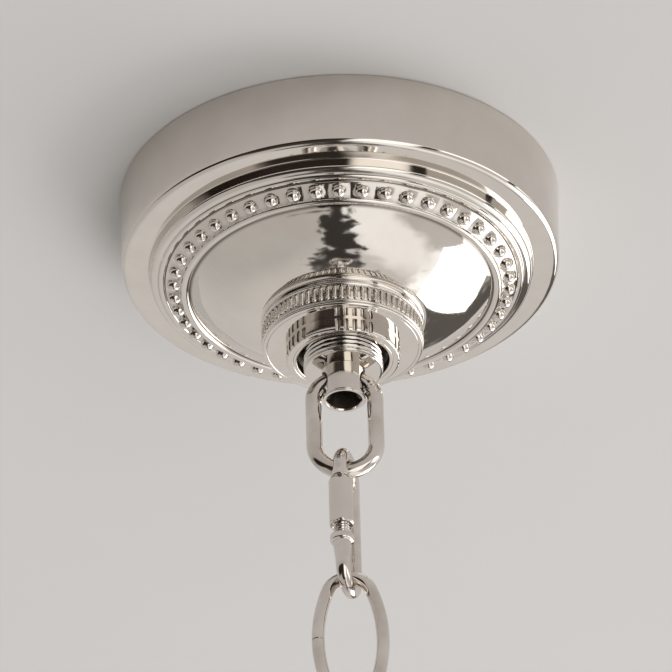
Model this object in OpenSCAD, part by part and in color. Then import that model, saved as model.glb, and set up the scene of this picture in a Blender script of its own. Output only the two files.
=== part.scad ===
// Screw-collar ceiling canopy of a hanging light, with its mounting bar inside and the first links
// of its chain. Millimetres, +Z up. The origin is on the canopy's axis in the ceiling plane: the
// rim and the top of the mounting bar are at z = 0, and everything hangs below it.

/* [Canopy shell] */
// Outside diameter of the rim at the ceiling
canopy_d = 136; // [112:1:164]
// Height of the plain side wall
wall_h = 22.2; // [16:0.1:30]
// How much smaller the wall's radius is at its foot than at the rim
wall_taper = 0.8; // [0:0.1:2]
// Thickness of the spun sheet
sheet_t = 1.2; // [0.8:0.1:1.6]
// Radius of the rounded shoulder under the wall
shoulder_r = 2.2; // [1.5:0.1:3]
// Width of the flat ledge between the shoulder and the step
ledge_w = 6.0; // [3:0.1:8]
// Height of the step under the ledge
step_h = 2.6; // [1.5:0.1:4]
// Width of the rounded moulding under the step
ovolo_w = 2.6; // [1.5:0.1:4]
// Height of the rounded moulding under the step
ovolo_h = 1.6; // [1:0.1:3]
// Width of the strip that carries the beads
strip_w = 4.6; // [4.4:0.1:6]
// Drop of the bead strip across its width
strip_drop = 3.0; // [1:0.1:4]
// Width of the half-round ridge inside the beads
ridge_w = 2.7; // [2.4:0.1:4]
// How far the ridge stands out
ridge_h = 0.9; // [0.4:0.1:1.3]
// Number of pressed beads
bead_count = 46; // [30:1:48]
// Diameter of one bead
bead_d = 4.2; // [3:0.1:4.4]
// Height of the inner dome from the ridge to the neck
dome_h = 11.4; // [8:0.1:16]
// How far the dome bulges out from a straight cone
dome_sag = 1.5; // [0.5:0.1:2.5]
// Height of the neck under the dome
neck_h = 1.8; // [1.4:0.1:3]
// Gap between the centre hole and the threaded barrel
hole_gap = 1.0; // [0.5:0.1:1.6]

/* [Seat disc] */
// Outside diameter of the knurled seat disc
seat_d = 49.6; // [44:0.1:60]
// Height of the seat disc
seat_h = 8.2; // [7:0.1:10]
// Thickness of the disc's bottom plate
seat_plate_t = 2.4; // [1.8:0.1:3]
// Thickness of the disc's side wall
seat_wall_t = 3.0; // [2:0.1:4]
// Number of knurled ribs
rib_count = 72; // [48:1:90]
// Depth of the knurling
rib_depth = 0.5; // [0.3:0.05:0.7]

/* [Screw collar] */
// Outside diameter of the collar
collar_d = 34.8; // [33.6:0.1:42]
// Visible height of the collar under the disc
collar_h = 4.6; // [3.8:0.1:7]
// Length of the collar's spigot inside the disc
spigot_h = 3.0; // [2:0.1:5]
// Wall of the collar's spigot
spigot_t = 1.5; // [1.2:0.1:1.8]
// Depth of the recess in the collar's underside
recess_h = 2.6; // [1:0.1:3]
// Radial width of the recess around the barrel
recess_w = 1.9; // [1.5:0.1:2.4]
// Groups of finger flutes
flute_groups = 5; // [4:1:6]
// Flutes in one group
flutes_per_group = 5; // [3:1:6]
// Radius of one flute
flute_r = 0.75; // [0.5:0.05:0.9]

/* [Barrel and tube] */
// Outside diameter of the threaded barrel
barrel_d = 24.3; // [20.2:0.05:25]
// Length of the barrel
barrel_l = 26.4; // [22:0.1:32]
// How far the barrel's foot stands below the collar
barrel_show = 4.0; // [3:0.1:8]
// Pitch of the barrel's thread
barrel_pitch = 1.5; // [1:0.1:2]
// Outside diameter of the wire-way tube
tube_d = 13.0; // [10.8:0.01:15.6]
// Wall thickness of the tube
tube_t = 1.3; // [1:0.1:1.6]
// Height of the tube's edge below its cross hole
tube_lip = 1.5; // [1.2:0.1:4]
// How far the tube is pressed into the barrel
tube_grip = 8.0; // [6:0.1:10]
// How much wider than the top link's wire the cross hole is
cross_hole_play = 3.2; // [3:0.1:3.4]
// Distance from the barrel's foot to the top of the cross hole
cross_hole_drop = 0.7; // [0.5:0.1:2]

/* [Top link] */
// Wire diameter of the top link
top_wire = 5.0; // [4:0.01:5]
// Gap between the tube and each leg of the top link
top_gap = 0.35; // [0.3:0.05:3]
// Length of the top link between wire centres
top_l = 32.9; // [30:0.1:46]
// Bend radius of its two upper corners
top_corner_r = 7.5; // [6:0.1:7.6]

/* [Quick link] */
// Wire diameter of the quick link
quick_wire = 4.2; // [3.6:0.1:4.6]
// Width of the quick link between wire centres
quick_w = 13; // [12:0.1:16]
// Length of the quick link between wire centres
quick_l = 46.5; // [44:0.1:60]
// Diameter of the threaded leg ends
quick_thread_d = 4.9; // [4.8:0.1:5.2]
// Turn of the quick link about the chain's line, in degrees
quick_turn = 16; // [0:1:20]
// Width across flats of the sleeve nut
nut_af = 7.2; // [6.8:0.1:8]
// Length of the sleeve nut
nut_l = 17; // [14:0.1:18]
// Gap between the sleeve nut and its stop ring
nut_gap = 3.3; // [1:0.1:3.6]
// Outside diameter of the stop ring
stop_d = 7.2; // [6.6:0.1:8]
// Height of the stop ring
stop_h = 2.6; // [2:0.1:4]

/* [Oval link] */
// Wire diameter of the oval link
oval_wire = 3.9; // [3:0.1:4.2]
// Width of the oval link between wire centres
oval_w = 19.2; // [17:0.1:24]
// Length of the oval link between wire centres
oval_l = 43.2; // [38:0.1:52]
// Bend radius of the oval link's ends
oval_end_r = 6.9; // [6:0.1:8]

/* [Mounting bar] */
// Length of the mounting bar
bar_l = 104; // [100:1:106]
// Width of the mounting bar
bar_w = 19; // [17:0.5:24]
// Thickness of the mounting bar
bar_t = 2; // [1.5:0.1:3]
// Distance between the two box screws
screw_spacing = 88.9; // [83:0.1:89]
// Shank diameter of a box screw
screw_d = 4.16; // [3.5:0.01:4.8]
// How far the box screws stand above the bar
screw_up = 19; // [12:1:30]
// Length of the slot that each box screw passes through
slot_l = 12; // [8:0.5:13]

/* [Nipple and hardware] */
// Outside diameter of the threaded nipple
nipple_d = 10.1; // [9.6:0.1:10.6]
// Bore of the nipple
nipple_bore = 7; // [5.5:0.1:7.2]
// How far the nipple stands above the bar
nipple_up = 12; // [9:0.5:20]
// Width across flats of the nipple's nuts
hex_af = 15; // [14:0.5:16]
// Thickness of the nipple's nuts
hex_t = 4; // [3:0.5:5]
// Thickness of a lock washer
washer_t = 0.8; // [0.6:0.1:1.2]

/* [Hidden] */
$fn = 96;
eps = 0.01;
lap = 0.3;          // length by which a straight wire runs into its bend
proud = 0.04;       // how much thicker it is there, so that the two meet cleanly
run_gap = 0.05;     // radial clearance of threads and shafts
face_gap = 0.05;    // gap between links where they hang on each other
hex_ratio = 2 / sqrt(3);

// Canopy outline, from the rim inwards: radii, then depths below the ceiling.
rim_r = canopy_d / 2;
wall_r = rim_r - wall_taper;
step_r = wall_r - shoulder_r - ledge_w;
step_draft = 0.3;
ovolo_r = step_r - step_draft - ovolo_w;
lip_w = 2.2;                                // small half-round lip outside the beads
strip_out_r = ovolo_r - lip_w;
strip_in_r = strip_out_r - strip_w;
dome_out_r = strip_in_r - ridge_w;
seat_r = seat_d / 2;
neck_r = seat_r - 0.5;
neck_fillet = 0.9;
dome_in_r = neck_r + neck_fillet + 0.4;
ledge_z = wall_h + shoulder_r;
step_z = ledge_z + step_h;
ovolo_z = step_z + ovolo_h;
lip_drop = 1.0;
strip_out_z = ovolo_z + lip_drop;
strip_in_z = strip_out_z + strip_drop;
dome_z = strip_in_z + dome_h;
seat_z = dome_z + neck_h;                   // top of the seat disc
bead_r = bead_d / 2;
bead_shift = 0.2;                           // how far the beads sit inwards of the strip's middle
bead_ring_r = (strip_out_r + strip_in_r) / 2 - bead_shift;
bead_z = (strip_out_z + strip_in_z) / 2;

// Seat disc, collar, barrel and tube.
seat_foot_z = seat_z + seat_h;
barrel_r = barrel_d / 2;
thread_depth = 0.55;
thread_bore_r = barrel_r + run_gap;
spigot_r = thread_bore_r + spigot_t;
seat_bore_r = spigot_r + 0.1;
collar_r = collar_d / 2;
collar_foot_z = seat_foot_z + collar_h;
collar_edge = 0.8;
recess_r = barrel_r + recess_w;
barrel_foot_z = collar_foot_z + barrel_show;
barrel_top_z = barrel_foot_z - barrel_l;
tube_r = tube_d / 2;
tube_bore_r = tube_r - tube_t;
tube_top_z = barrel_foot_z - tube_grip;
cross_hole_r = (top_wire + cross_hole_play) / 2;
cross_hole_z = barrel_foot_z + cross_hole_drop + cross_hole_r;
tube_foot_z = cross_hole_z + cross_hole_r + tube_lip;
web_hole_r = barrel_r + hole_gap;

// Chain, as depths of the wire centres.
top_rise = 0.5;                             // how far the arched bar rises above the hole's edge
top_link_z = cross_hole_z - cross_hole_play / 2 - top_rise;
top_leg_x = tube_r + top_gap + top_wire / 2;
top_foot_z = top_link_z + top_l;
quick_z = top_foot_z - top_wire / 2 - quick_wire / 2 - face_gap;
quick_r = quick_w / 2;
quick_foot_z = quick_z + quick_l;
quick_taper_l = 1.5;
leg_top_z = quick_z + quick_r;              // where the straight legs begin
leg_foot_z = quick_foot_z - quick_r;
leg_l = leg_foot_z - leg_top_z;
stop_share = 0.74;                          // the stop ring's place along the leg
stop_z = leg_top_z + leg_l * stop_share;
nut_foot_z = stop_z - nut_gap;
nut_top_z = nut_foot_z - nut_l;
upper_grip = 6.7;                           // length of each threaded end inside the nut
lower_grip = 3.6;
upper_thread_end = nut_top_z + upper_grip;
lower_thread_end = nut_foot_z - lower_grip;
oval_z = quick_foot_z - quick_wire / 2 - oval_wire / 2 - face_gap;
oval_mid_z = oval_z + oval_l / 2;
oval_half_l = oval_l / 2;
oval_half_w = oval_w / 2;
// Radius of the long sides that meets the end bends smoothly.
oval_side_r = (pow(oval_half_l - oval_end_r, 2) + pow(oval_half_w, 2) - pow(oval_end_r, 2))
    / (2 * (oval_half_w - oval_end_r));
oval_end_angle = atan2(oval_side_r - oval_half_w, oval_half_l - oval_end_r);

// Bar, nipple and hardware.
collar_boss_r = 8;
collar_boss_h = 2.5;
nipple_r = nipple_d / 2;
nipple_pitch = 1;
nipple_depth = 0.35;
nipple_grip = 14;                           // thread engaged in the barrel
nipple_foot_z = barrel_top_z + nipple_grip;
nut_bore_r = nipple_r + run_gap;
lower_washer_z = bar_t + collar_boss_h;
lower_nut_z = lower_washer_z + washer_t;
screw_r = screw_d / 2;
screw_head_r = 3.9;
screw_head_h = 2.6;
screw_neck_r = screw_r - 0.35;              // plain neck below the thread
screw_neck_up = 0.6;                        // the thread starts this far above the bar
slot_r = screw_r + 0.3;
ground_x = 26;
ground_up = 8;
barrel_nut_t = 3;
set_screw_r = 1.5;
set_screw_z = barrel_top_z + 5;

// Points of an ellipse's arc in the outline's plane (radius, height).
function arc_points(c, rx, ry, a0, a1, n) =
    [for (i = [0:n]) let (a = a0 + (a1 - a0) * i / n) [c[0] + rx * cos(a), c[1] + ry * sin(a)]];

// Points of a bulging line between two points; the bulge is to the line's right-hand side.
function bulge_points(p, q, sag, n) =
    let (d = q - p, w = norm(d), side = [-d[1], d[0]] / w)
    [for (i = [0:n]) let (t = i / n) p + d * t + side * sag * 4 * t * (1 - t)];

// Zigzag outline of a thread's crests, from a start depth to an end depth.
function thread_points(r, z0, z1, pitch, depth) =
    let (turns = floor((z1 - z0) / pitch), start = z0 + ((z1 - z0) - turns * pitch) / 2)
    [for (i = [0:turns - 1], k = [0:2])
        [r - (k == 0 ? depth : k == 1 ? 0 : depth), -(start + (i + [0.04, 0.5, 0.96][k]) * pitch)]];

// Outline points moved away from the outside by the sheet's thickness, square to a given slope.
function inset(points, slope, t) = [for (p = points) p + t * [-sin(slope), cos(slope)]];

// A round wire's bend: centre, radius, start and sweep, lying in the XZ plane.
module bend(wire, r, start, sweep) {
    rotate([90, 0, 0]) rotate([0, 0, start])
        rotate_extrude(angle = sweep) translate([r, 0]) circle(d = wire, $fn = 48);
}

// A hexagon prism standing on z = 0 with slightly turned corners.
module hex_blank(af, h) {
    intersection() {
        cylinder(d = af * hex_ratio, h = h, $fn = 6);
        rotate_extrude() polygon([[0, 0], [af / 2, 0], [af * hex_ratio / 2, 0.4],
            [af * hex_ratio / 2, h - 0.4], [af / 2, h], [0, h]]);
    }
}

// A ring turned from an outline of (radius, depth) points.
module turned(points) {
    rotate_extrude() polygon(points);
}

module canopy_shell() {
    slope = atan2(strip_drop, strip_w);
    dome_slope = atan2(dome_h, dome_out_r - dome_in_r);
    dome = bulge_points([dome_out_r, -strip_in_z], [dome_in_r, -dome_z], dome_sag, 10);
    strip = [[strip_out_r, -strip_out_z], [strip_in_r, -strip_in_z]];
    outside = concat(
        [[rim_r, 0]],
        arc_points([wall_r - shoulder_r, -wall_h], shoulder_r, shoulder_r, 0, -90, 6),
        [[step_r, -ledge_z], [step_r - step_draft, -step_z]],
        arc_points([ovolo_r, -step_z], ovolo_w, ovolo_h, 0, -90, 5),
        arc_points([ovolo_r - lip_w / 2, -ovolo_z], lip_w / 2, 0.7, 0, -150, 5),
        strip,
        arc_points([strip_in_r - ridge_w / 2, -strip_in_z], ridge_w / 2, ridge_h, 0, -180, 8),
        dome,
        arc_points([neck_r + neck_fillet, -(dome_z + neck_fillet * 0.6)],
            neck_fillet, neck_fillet, 90, 180, 4),
        [[neck_r, -seat_z], [web_hole_r, -seat_z]]);
    inside = concat(
        [[web_hole_r, -(seat_z - sheet_t)], [neck_r - sheet_t, -(seat_z - sheet_t)]],
        [for (i = [9:-1:0]) inset(dome, dome_slope, sheet_t)[i]],
        [inset(strip, slope, sheet_t)[1], inset(strip, slope, sheet_t)[0]],
        [[ovolo_r - sheet_t * 0.6, -(ovolo_z - sheet_t * 0.8)],
         [step_r - step_draft - sheet_t, -(step_z - sheet_t * 0.6)],
         [step_r - sheet_t, -(ledge_z - sheet_t)],
         [wall_r - shoulder_r, -(ledge_z - sheet_t)],
         [wall_r - sheet_t, -(wall_h - 0.4)],
         [rim_r - sheet_t, 0]]);
    color([0.78, 0.75, 0.71]) {
        union() {
            turned(concat(outside, inside));
            for (i = [0:bead_count - 1])
                rotate([0, 0, -90 + i * 360 / bead_count])
                    translate([bead_ring_r, 0, -bead_z])
                        sphere(r = bead_r, $fn = 32);
        }
    }
}

module seat_disc() {
    top_bead_h = 1.2;
    foot_h = 1.9;
    band_top = seat_z + top_bead_h;
    band_foot = seat_foot_z - foot_h;
    body_r = seat_r - rib_depth;
    cup_r = seat_r - seat_wall_t;
    rib = 360 / rib_count;
    color([0.77, 0.74, 0.70]) {
        difference() {
            union() {
                turned(concat(
                    [[0, -seat_z], [neck_r, -seat_z]],
                    arc_points([neck_r, -(seat_z + top_bead_h / 2)], 0.5, top_bead_h / 2, 90, -90, 4),
                    [[body_r - 0.2, -band_top], [body_r - 0.2, -band_foot],
                     [seat_r - 0.1, -(band_foot + 0.1)], [seat_r - 0.1, -(band_foot + 0.8)],
                     [seat_r - 0.6, -(band_foot + 0.9)], [seat_r - 0.6, -(seat_foot_z - 0.4)],
                     [seat_r - 1.0, -seat_foot_z], [0, -seat_foot_z]]));
                translate([0, 0, -band_foot]) linear_extrude(height = band_foot - band_top)
                    polygon([for (i = [0:rib_count - 1], k = [0:3])
                        let (a = rib * (i + [0.05, 0.3, 0.6, 0.85][k]),
                             r = body_r + [0, rib_depth - 0.1, rib_depth - 0.1, 0][k])
                        r * [cos(a), sin(a)]]);
            }
            translate([0, 0, -seat_foot_z - 1]) cylinder(r = seat_bore_r, h = seat_h + 2);
            translate([0, 0, -(seat_foot_z - seat_plate_t)]) cylinder(r = cup_r, h = seat_h);
        }
    }
}

module collar_ring() {
    spread = 8.6;           // degrees from one flute to the next in a group
    middle = -77.4;         // direction of the first group's middle
    group = 360 / flute_groups;
    first = middle - spread * (flutes_per_group - 1) / 2;
    flute_x = collar_r + flute_r * 0.35;
    color([0.77, 0.74, 0.70]) {
        difference() {
            turned(concat(
                [[thread_bore_r, -(seat_foot_z - spigot_h)], [spigot_r, -(seat_foot_z - spigot_h)],
                 [spigot_r, -seat_foot_z], [collar_r, -seat_foot_z]],
                arc_points([collar_r - collar_edge, -(collar_foot_z - collar_edge)],
                    collar_edge, collar_edge, 0, -90, 5),
                arc_points([recess_r + 0.5, -(collar_foot_z - 0.5)], 0.5, 0.5, -90, -180, 3),
                [[recess_r, -(collar_foot_z - recess_h)],
                 [thread_bore_r, -(collar_foot_z - recess_h - 0.8)]]));
            for (g = [0:flute_groups - 1], i = [0:flutes_per_group - 1])
                rotate([0, 0, first + g * group + i * spread])
                    translate([flute_x, 0, -collar_foot_z - 1])
                        cylinder(r = flute_r, h = collar_h + 0.4, $fn = 24);
        }
    }
}

module loop_barrel() {
    passage_r = tube_bore_r - 1;
    plain_r = barrel_r - thread_depth;
    thread_top_z = set_screw_z + set_screw_r + 4;   // the barrel is plain above this depth
    color([0.76, 0.73, 0.69]) {
        difference() {
            turned(concat(
                [[nut_bore_r, -barrel_top_z], [plain_r - 0.4, -barrel_top_z],
                 [plain_r, -(barrel_top_z + 0.4)], [plain_r, -thread_top_z]],
                thread_points(barrel_r, thread_top_z + 0.2, barrel_foot_z - 1.0,
                    barrel_pitch, thread_depth),
                [[barrel_r - 0.25, -(barrel_foot_z - 0.6)], [barrel_r - 0.7, -barrel_foot_z],
                 [tube_r, -barrel_foot_z], [tube_r, -tube_top_z], [passage_r, -tube_top_z],
                 [passage_r, -(nipple_foot_z + 1)], [nut_bore_r, -nipple_foot_z]]));
            translate([0, 0, -set_screw_z]) rotate([90, 0, 0])
                cylinder(r = set_screw_r + run_gap, h = barrel_r + 2, $fn = 32);
        }
    }
}

module wireway_tube() {
    color([0.80, 0.77, 0.73]) {
        difference() {
            turned([[tube_bore_r, -tube_top_z], [tube_r, -tube_top_z],
                [tube_r, -(tube_foot_z - 0.4)], [tube_r - 0.4, -tube_foot_z],
                [tube_bore_r + 0.25, -tube_foot_z], [tube_bore_r, -(tube_foot_z - 0.3)]]);
            translate([-tube_d, 0, -cross_hole_z]) rotate([0, 90, 0])
                cylinder(r = cross_hole_r, h = 2 * tube_d, $fn = 64);
        }
    }
}

module top_link() {
    leg_top = top_link_z + top_corner_r;
    leg_foot = top_foot_z - top_leg_x;
    flat_x = top_leg_x - top_corner_r;
    color([0.79, 0.76, 0.72]) {
        union() {
            translate([-flat_x - lap, 0, -top_link_z]) rotate([0, 90, 0])
                cylinder(d = top_wire + proud, h = 2 * (flat_x + lap), $fn = 48);
            translate([flat_x, 0, -leg_top]) bend(top_wire, top_corner_r, 0, 90);
            translate([-flat_x, 0, -leg_top]) bend(top_wire, top_corner_r, 90, 90);
            for (s = [-1, 1]) translate([s * top_leg_x, 0, -leg_foot - lap])
                cylinder(d = top_wire + proud, h = leg_foot - leg_top + 2 * lap, $fn = 48);
            translate([0, 0, -leg_foot]) bend(top_wire, top_leg_x, 180, 180);
        }
    }
}

// The quick link lies in a plane through the chain's line, turned by quick_turn.
module in_quick_plane() {
    rotate([0, 0, 90 - quick_turn]) children();
}

module quick_link_body() {
    swell = quick_thread_d / 2;
    wire_r = (quick_wire + proud) / 2;
    stop_r = stop_d / 2;
    lower_r = swell + 0.3;
    color([0.80, 0.77, 0.73]) {
        in_quick_plane() union() {
            translate([0, 0, -leg_top_z]) bend(quick_wire, quick_r, 0, 180);
            translate([0, 0, -leg_foot_z]) bend(quick_wire, quick_r, 180, 180);
            translate([quick_r, 0, 0]) turned([[0, -(leg_top_z - lap)], [wire_r, -(leg_top_z - lap)],
                [wire_r, -(leg_foot_z + lap)], [0, -(leg_foot_z + lap)]]);
            translate([-quick_r, 0, 0]) turned([[0, -(leg_top_z - lap)], [wire_r, -(leg_top_z - lap)],
                [wire_r, -leg_top_z], [swell, -(leg_top_z + quick_taper_l)],
                [swell, -(upper_thread_end - 0.5)], [swell - 0.5, -upper_thread_end],
                [0, -upper_thread_end]]);
            translate([-quick_r, 0, 0]) turned([[0, -lower_thread_end],
                [swell - 0.5, -lower_thread_end], [swell, -(lower_thread_end + 0.5)],
                [swell, -stop_z], [stop_r - 0.6, -stop_z], [stop_r, -(stop_z + 0.6)],
                [stop_r, -(stop_z + stop_h - 0.6)], [stop_r - 0.6, -(stop_z + stop_h)],
                [lower_r, -(stop_z + stop_h)], [wire_r, -leg_foot_z],
                [wire_r, -(leg_foot_z + lap)], [0, -(leg_foot_z + lap)]]);
        }
    }
}

module quick_link_nut() {
    bore_r = quick_thread_d / 2 + run_gap;
    mouth = 1.0;
    color([0.76, 0.73, 0.69]) {
        in_quick_plane() translate([-quick_r, 0, -nut_foot_z]) difference() {
            intersection() {
                rotate([0, 0, 30]) cylinder(d = nut_af * hex_ratio, h = nut_l, $fn = 6);
                turned([[0, 0], [nut_af / 2 - 0.1, 0], [nut_af * hex_ratio / 2, 0.9],
                    [nut_af * hex_ratio / 2, nut_l - 2.6], [nut_af / 2 - 0.8, nut_l], [0, nut_l]]);
            }
            translate([0, 0, -1]) cylinder(r = bore_r, h = nut_l + 2, $fn = 48);
            translate([0, 0, -eps]) cylinder(r1 = bore_r + mouth, r2 = bore_r, h = 0.8, $fn = 48);
        }
    }
}

module oval_link() {
    seam_w = 0.3;
    lap_angle = atan(lap / oval_side_r);
    side_half = 90 - oval_end_angle + lap_angle;
    color([0.79, 0.76, 0.72]) {
        difference() {
            translate([0, 0, -oval_mid_z]) union() {
                for (s = [0, 180]) rotate([0, s, 0]) {
                    translate([0, 0, oval_half_l - oval_end_r])
                        bend(oval_wire, oval_end_r, 90 - oval_end_angle, 2 * oval_end_angle);
                    translate([oval_half_w - oval_side_r, 0, 0])
                        bend(oval_wire + proud, oval_side_r, -side_half, 2 * side_half);
                }
            }
            translate([-oval_half_w, 0, -oval_mid_z])
                difference() {
                    cylinder(d = oval_wire + 2, h = seam_w, center = true, $fn = 48);
                    cylinder(d = oval_wire - 0.6, h = seam_w + 1, center = true, $fn = 48);
                }
        }
    }
}

module crossbar() {
    color([0.72, 0.72, 0.70]) {
        difference() {
            union() {
                translate([0, 0, -bar_t / 2])
                    cube([bar_l - bar_w, bar_w, bar_t], center = true);
                for (s = [-1, 1]) translate([s * (bar_l - bar_w) / 2, 0, -bar_t])
                    cylinder(d = bar_w, h = bar_t);
                turned([[0, -eps], [collar_boss_r + 0.8, -bar_t], [collar_boss_r, -(bar_t + 0.8)],
                    [collar_boss_r, -(bar_t + collar_boss_h)], [0, -(bar_t + collar_boss_h)]]);
            }
            translate([0, 0, -bar_t - collar_boss_h - 1])
                cylinder(r = nut_bore_r, h = bar_t + collar_boss_h + 2);
            for (s = [-1, 1]) translate([s * screw_spacing / 2, 0, -bar_t - 1]) {
                cube_l = slot_l - 2 * slot_r;
                translate([-cube_l / 2, -slot_r, 0]) cube([cube_l, 2 * slot_r, bar_t + 2]);
                for (k = [-1, 1]) translate([k * cube_l / 2, 0, 0])
                    cylinder(r = slot_r, h = bar_t + 2, $fn = 48);
            }
            translate([ground_x, 0, -bar_t - 1])
                cylinder(r = screw_r + run_gap, h = bar_t + 2, $fn = 48);
        }
    }
}

// A round-headed screw with its head under the bar and a cross slot in the head.
module head_screw(up, below) {
    drive_w = 0.9;
    drive_d = 1.2;
    difference() {
        turned([[0, up], [screw_r - 0.6, up], [screw_r, up - 0.8], [screw_r, screw_neck_up],
            [screw_neck_r, screw_neck_up - 0.3], [screw_neck_r, -below],
            [screw_head_r, -below], [screw_head_r, -(below + screw_head_h * 0.4)],
            [screw_head_r * 0.75, -(below + screw_head_h * 0.85)],
            [screw_head_r * 0.35, -(below + screw_head_h)], [0, -(below + screw_head_h)]]);
        for (a = [0, 90]) rotate([0, 0, a])
            translate([0, 0, -(below + screw_head_h) + drive_d / 2 - eps])
                cube([screw_head_r * 1.2, drive_w, drive_d], center = true);
    }
}

module box_screws() {
    color([0.80, 0.78, 0.70])
        for (s = [-1, 1]) translate([s * screw_spacing / 2, 0, 0]) head_screw(screw_up, bar_t);
}

module ground_screw() {
    color([0.20, 0.48, 0.26]) translate([ground_x, 0, 0]) head_screw(ground_up, bar_t + washer_t);
}

module ground_washer() {
    rim = screw_head_r + 1.6;
    rim_t = 0.8;
    rim_foot = bar_t + washer_t + 0.7;
    color([0.70, 0.70, 0.66]) translate([ground_x, 0, 0])
        turned([[screw_r + run_gap, -bar_t], [rim, -bar_t], [rim, -rim_foot],
            [rim - rim_t, -rim_foot], [rim - rim_t, -(bar_t + washer_t)],
            [screw_r + run_gap, -(bar_t + washer_t)]]);
}

module threaded_nipple() {
    color([0.74, 0.70, 0.58]) {
        turned(concat(
            [[nipple_bore / 2, nipple_up], [nipple_r - 0.5, nipple_up]],
            thread_points(nipple_r, -nipple_up + 0.5, nipple_foot_z - 0.5,
                nipple_pitch, nipple_depth),
            [[nipple_r - 0.5, -nipple_foot_z], [nipple_bore / 2, -nipple_foot_z]]));
    }
}

module pipe_nut(z) {
    translate([0, 0, z]) difference() {
        hex_blank(hex_af, hex_t);
        translate([0, 0, -1]) cylinder(r = nut_bore_r, h = hex_t + 2);
    }
}

// A washer with outside teeth, standing on z.
module star_washer(z) {
    teeth = 12;
    outer_r = hex_af / 2;
    translate([0, 0, z]) difference() {
        linear_extrude(height = washer_t)
            polygon([for (i = [0:teeth - 1], k = [0:3])
                let (a = (i + [0, 0.45, 0.5, 0.95][k]) * 360 / teeth,
                     r = outer_r - [0, 0, 1.3, 1.3][k])
                r * [cos(a), sin(a)]]);
        translate([0, 0, -1]) cylinder(r = nut_bore_r, h = washer_t + 2);
    }
}

module upper_lock_washer() {
    color([0.66, 0.66, 0.64]) star_washer(0);
}

module upper_nut() {
    color([0.76, 0.70, 0.52]) pipe_nut(washer_t);
}

module lower_lock_washer() {
    color([0.66, 0.66, 0.64]) star_washer(-(lower_washer_z + washer_t));
}

module lower_nut() {
    color([0.76, 0.70, 0.52]) pipe_nut(-(lower_nut_z + hex_t));
}

module barrel_lock_nut() {
    color([0.76, 0.70, 0.52]) translate([0, 0, -barrel_top_z]) difference() {
        hex_blank(hex_af, barrel_nut_t);
        translate([0, 0, -1]) cylinder(r = nut_bore_r, h = barrel_nut_t + 2);
    }
}

module wire_bushing() {
    sleeve_r = nipple_bore / 2 - run_gap;
    bore_r = sleeve_r - 0.6;
    lip_r = nipple_r - 0.3;
    color([0.12, 0.12, 0.12])
        turned([[bore_r, nipple_up + 1.4], [lip_r - 0.5, nipple_up + 1.4], [lip_r, nipple_up + 0.9],
            [lip_r, nipple_up], [sleeve_r, nipple_up], [sleeve_r, nipple_up - 5],
            [bore_r, nipple_up - 5]]);
}

module set_screw() {
    tip = nipple_r;
    socket_r = 0.8;
    color([0.30, 0.30, 0.31]) translate([0, 0, -set_screw_z]) rotate([90, 0, 0])
        translate([0, 0, tip]) difference() {
            cylinder(r = set_screw_r, h = barrel_r - 1 - tip, $fn = 32);
            translate([0, 0, barrel_r - 2.6 - tip]) cylinder(r = socket_r, h = 3, $fn = 6);
        }
}

crossbar();
box_screws();
ground_screw();
ground_washer();
threaded_nipple();
upper_nut();
upper_lock_washer();
lower_nut();
lower_lock_washer();
wire_bushing();
barrel_lock_nut();
set_screw();
loop_barrel();
wireway_tube();
canopy_shell();
seat_disc();
collar_ring();
top_link();
quick_link_body();
quick_link_nut();
oval_link();
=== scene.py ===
"""Looks of a nickel ceiling canopy, its screw collar and tube, and the first links of its chain.

Sizes are in millimetres: a radius from the canopy's axis, and a depth below the ceiling plane.
They become metres with +Z up when a mesh is built.
"""

from __future__ import annotations

import logging
import math
from collections.abc import Callable, Sequence
from dataclasses import dataclass, field
from enum import Enum

import bmesh
import bpy
from mathutils import Matrix, Vector


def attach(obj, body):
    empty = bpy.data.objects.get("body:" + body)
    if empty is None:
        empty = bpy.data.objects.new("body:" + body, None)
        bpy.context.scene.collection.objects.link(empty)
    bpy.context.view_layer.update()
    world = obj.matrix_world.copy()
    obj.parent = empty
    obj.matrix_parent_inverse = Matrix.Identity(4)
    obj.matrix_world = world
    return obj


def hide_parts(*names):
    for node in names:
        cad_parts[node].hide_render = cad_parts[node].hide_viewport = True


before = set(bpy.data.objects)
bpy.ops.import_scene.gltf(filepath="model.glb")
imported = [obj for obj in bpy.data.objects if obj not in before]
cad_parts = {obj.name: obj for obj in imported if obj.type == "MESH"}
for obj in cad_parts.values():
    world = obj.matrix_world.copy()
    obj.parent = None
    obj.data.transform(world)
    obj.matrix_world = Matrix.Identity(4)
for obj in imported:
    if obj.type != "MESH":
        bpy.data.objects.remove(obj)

LOG = logging.getLogger("canopy")
MM = 0.001
TAU = 2 * math.pi
CREASE = math.radians(32)

Point = tuple[float, float]
Corner = tuple[float, float, float]
Shape = Callable[[float, float, float], Point]


# ---------------------------------------------------------------------------------------------
# Outlines
# ---------------------------------------------------------------------------------------------


def arc(centre: Point, radii: Point, start: float, end: float, steps: int) -> list[Point]:
    """Makes an elliptical arc in an outline.

    Args:
        centre: radius and depth of the arc's middle.
        radii: half width and half height.
        start: first angle in degrees; 0 points outwards and 90 points down.
        end: last angle in degrees.
        steps: number of segments.

    Returns:
        The arc's points, both ends included.
    """
    turns = [math.radians(start + (end - start) * i / steps) for i in range(steps + 1)]
    return [(centre[0] + radii[0] * math.cos(t), centre[1] + radii[1] * math.sin(t)) for t in turns]


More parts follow.
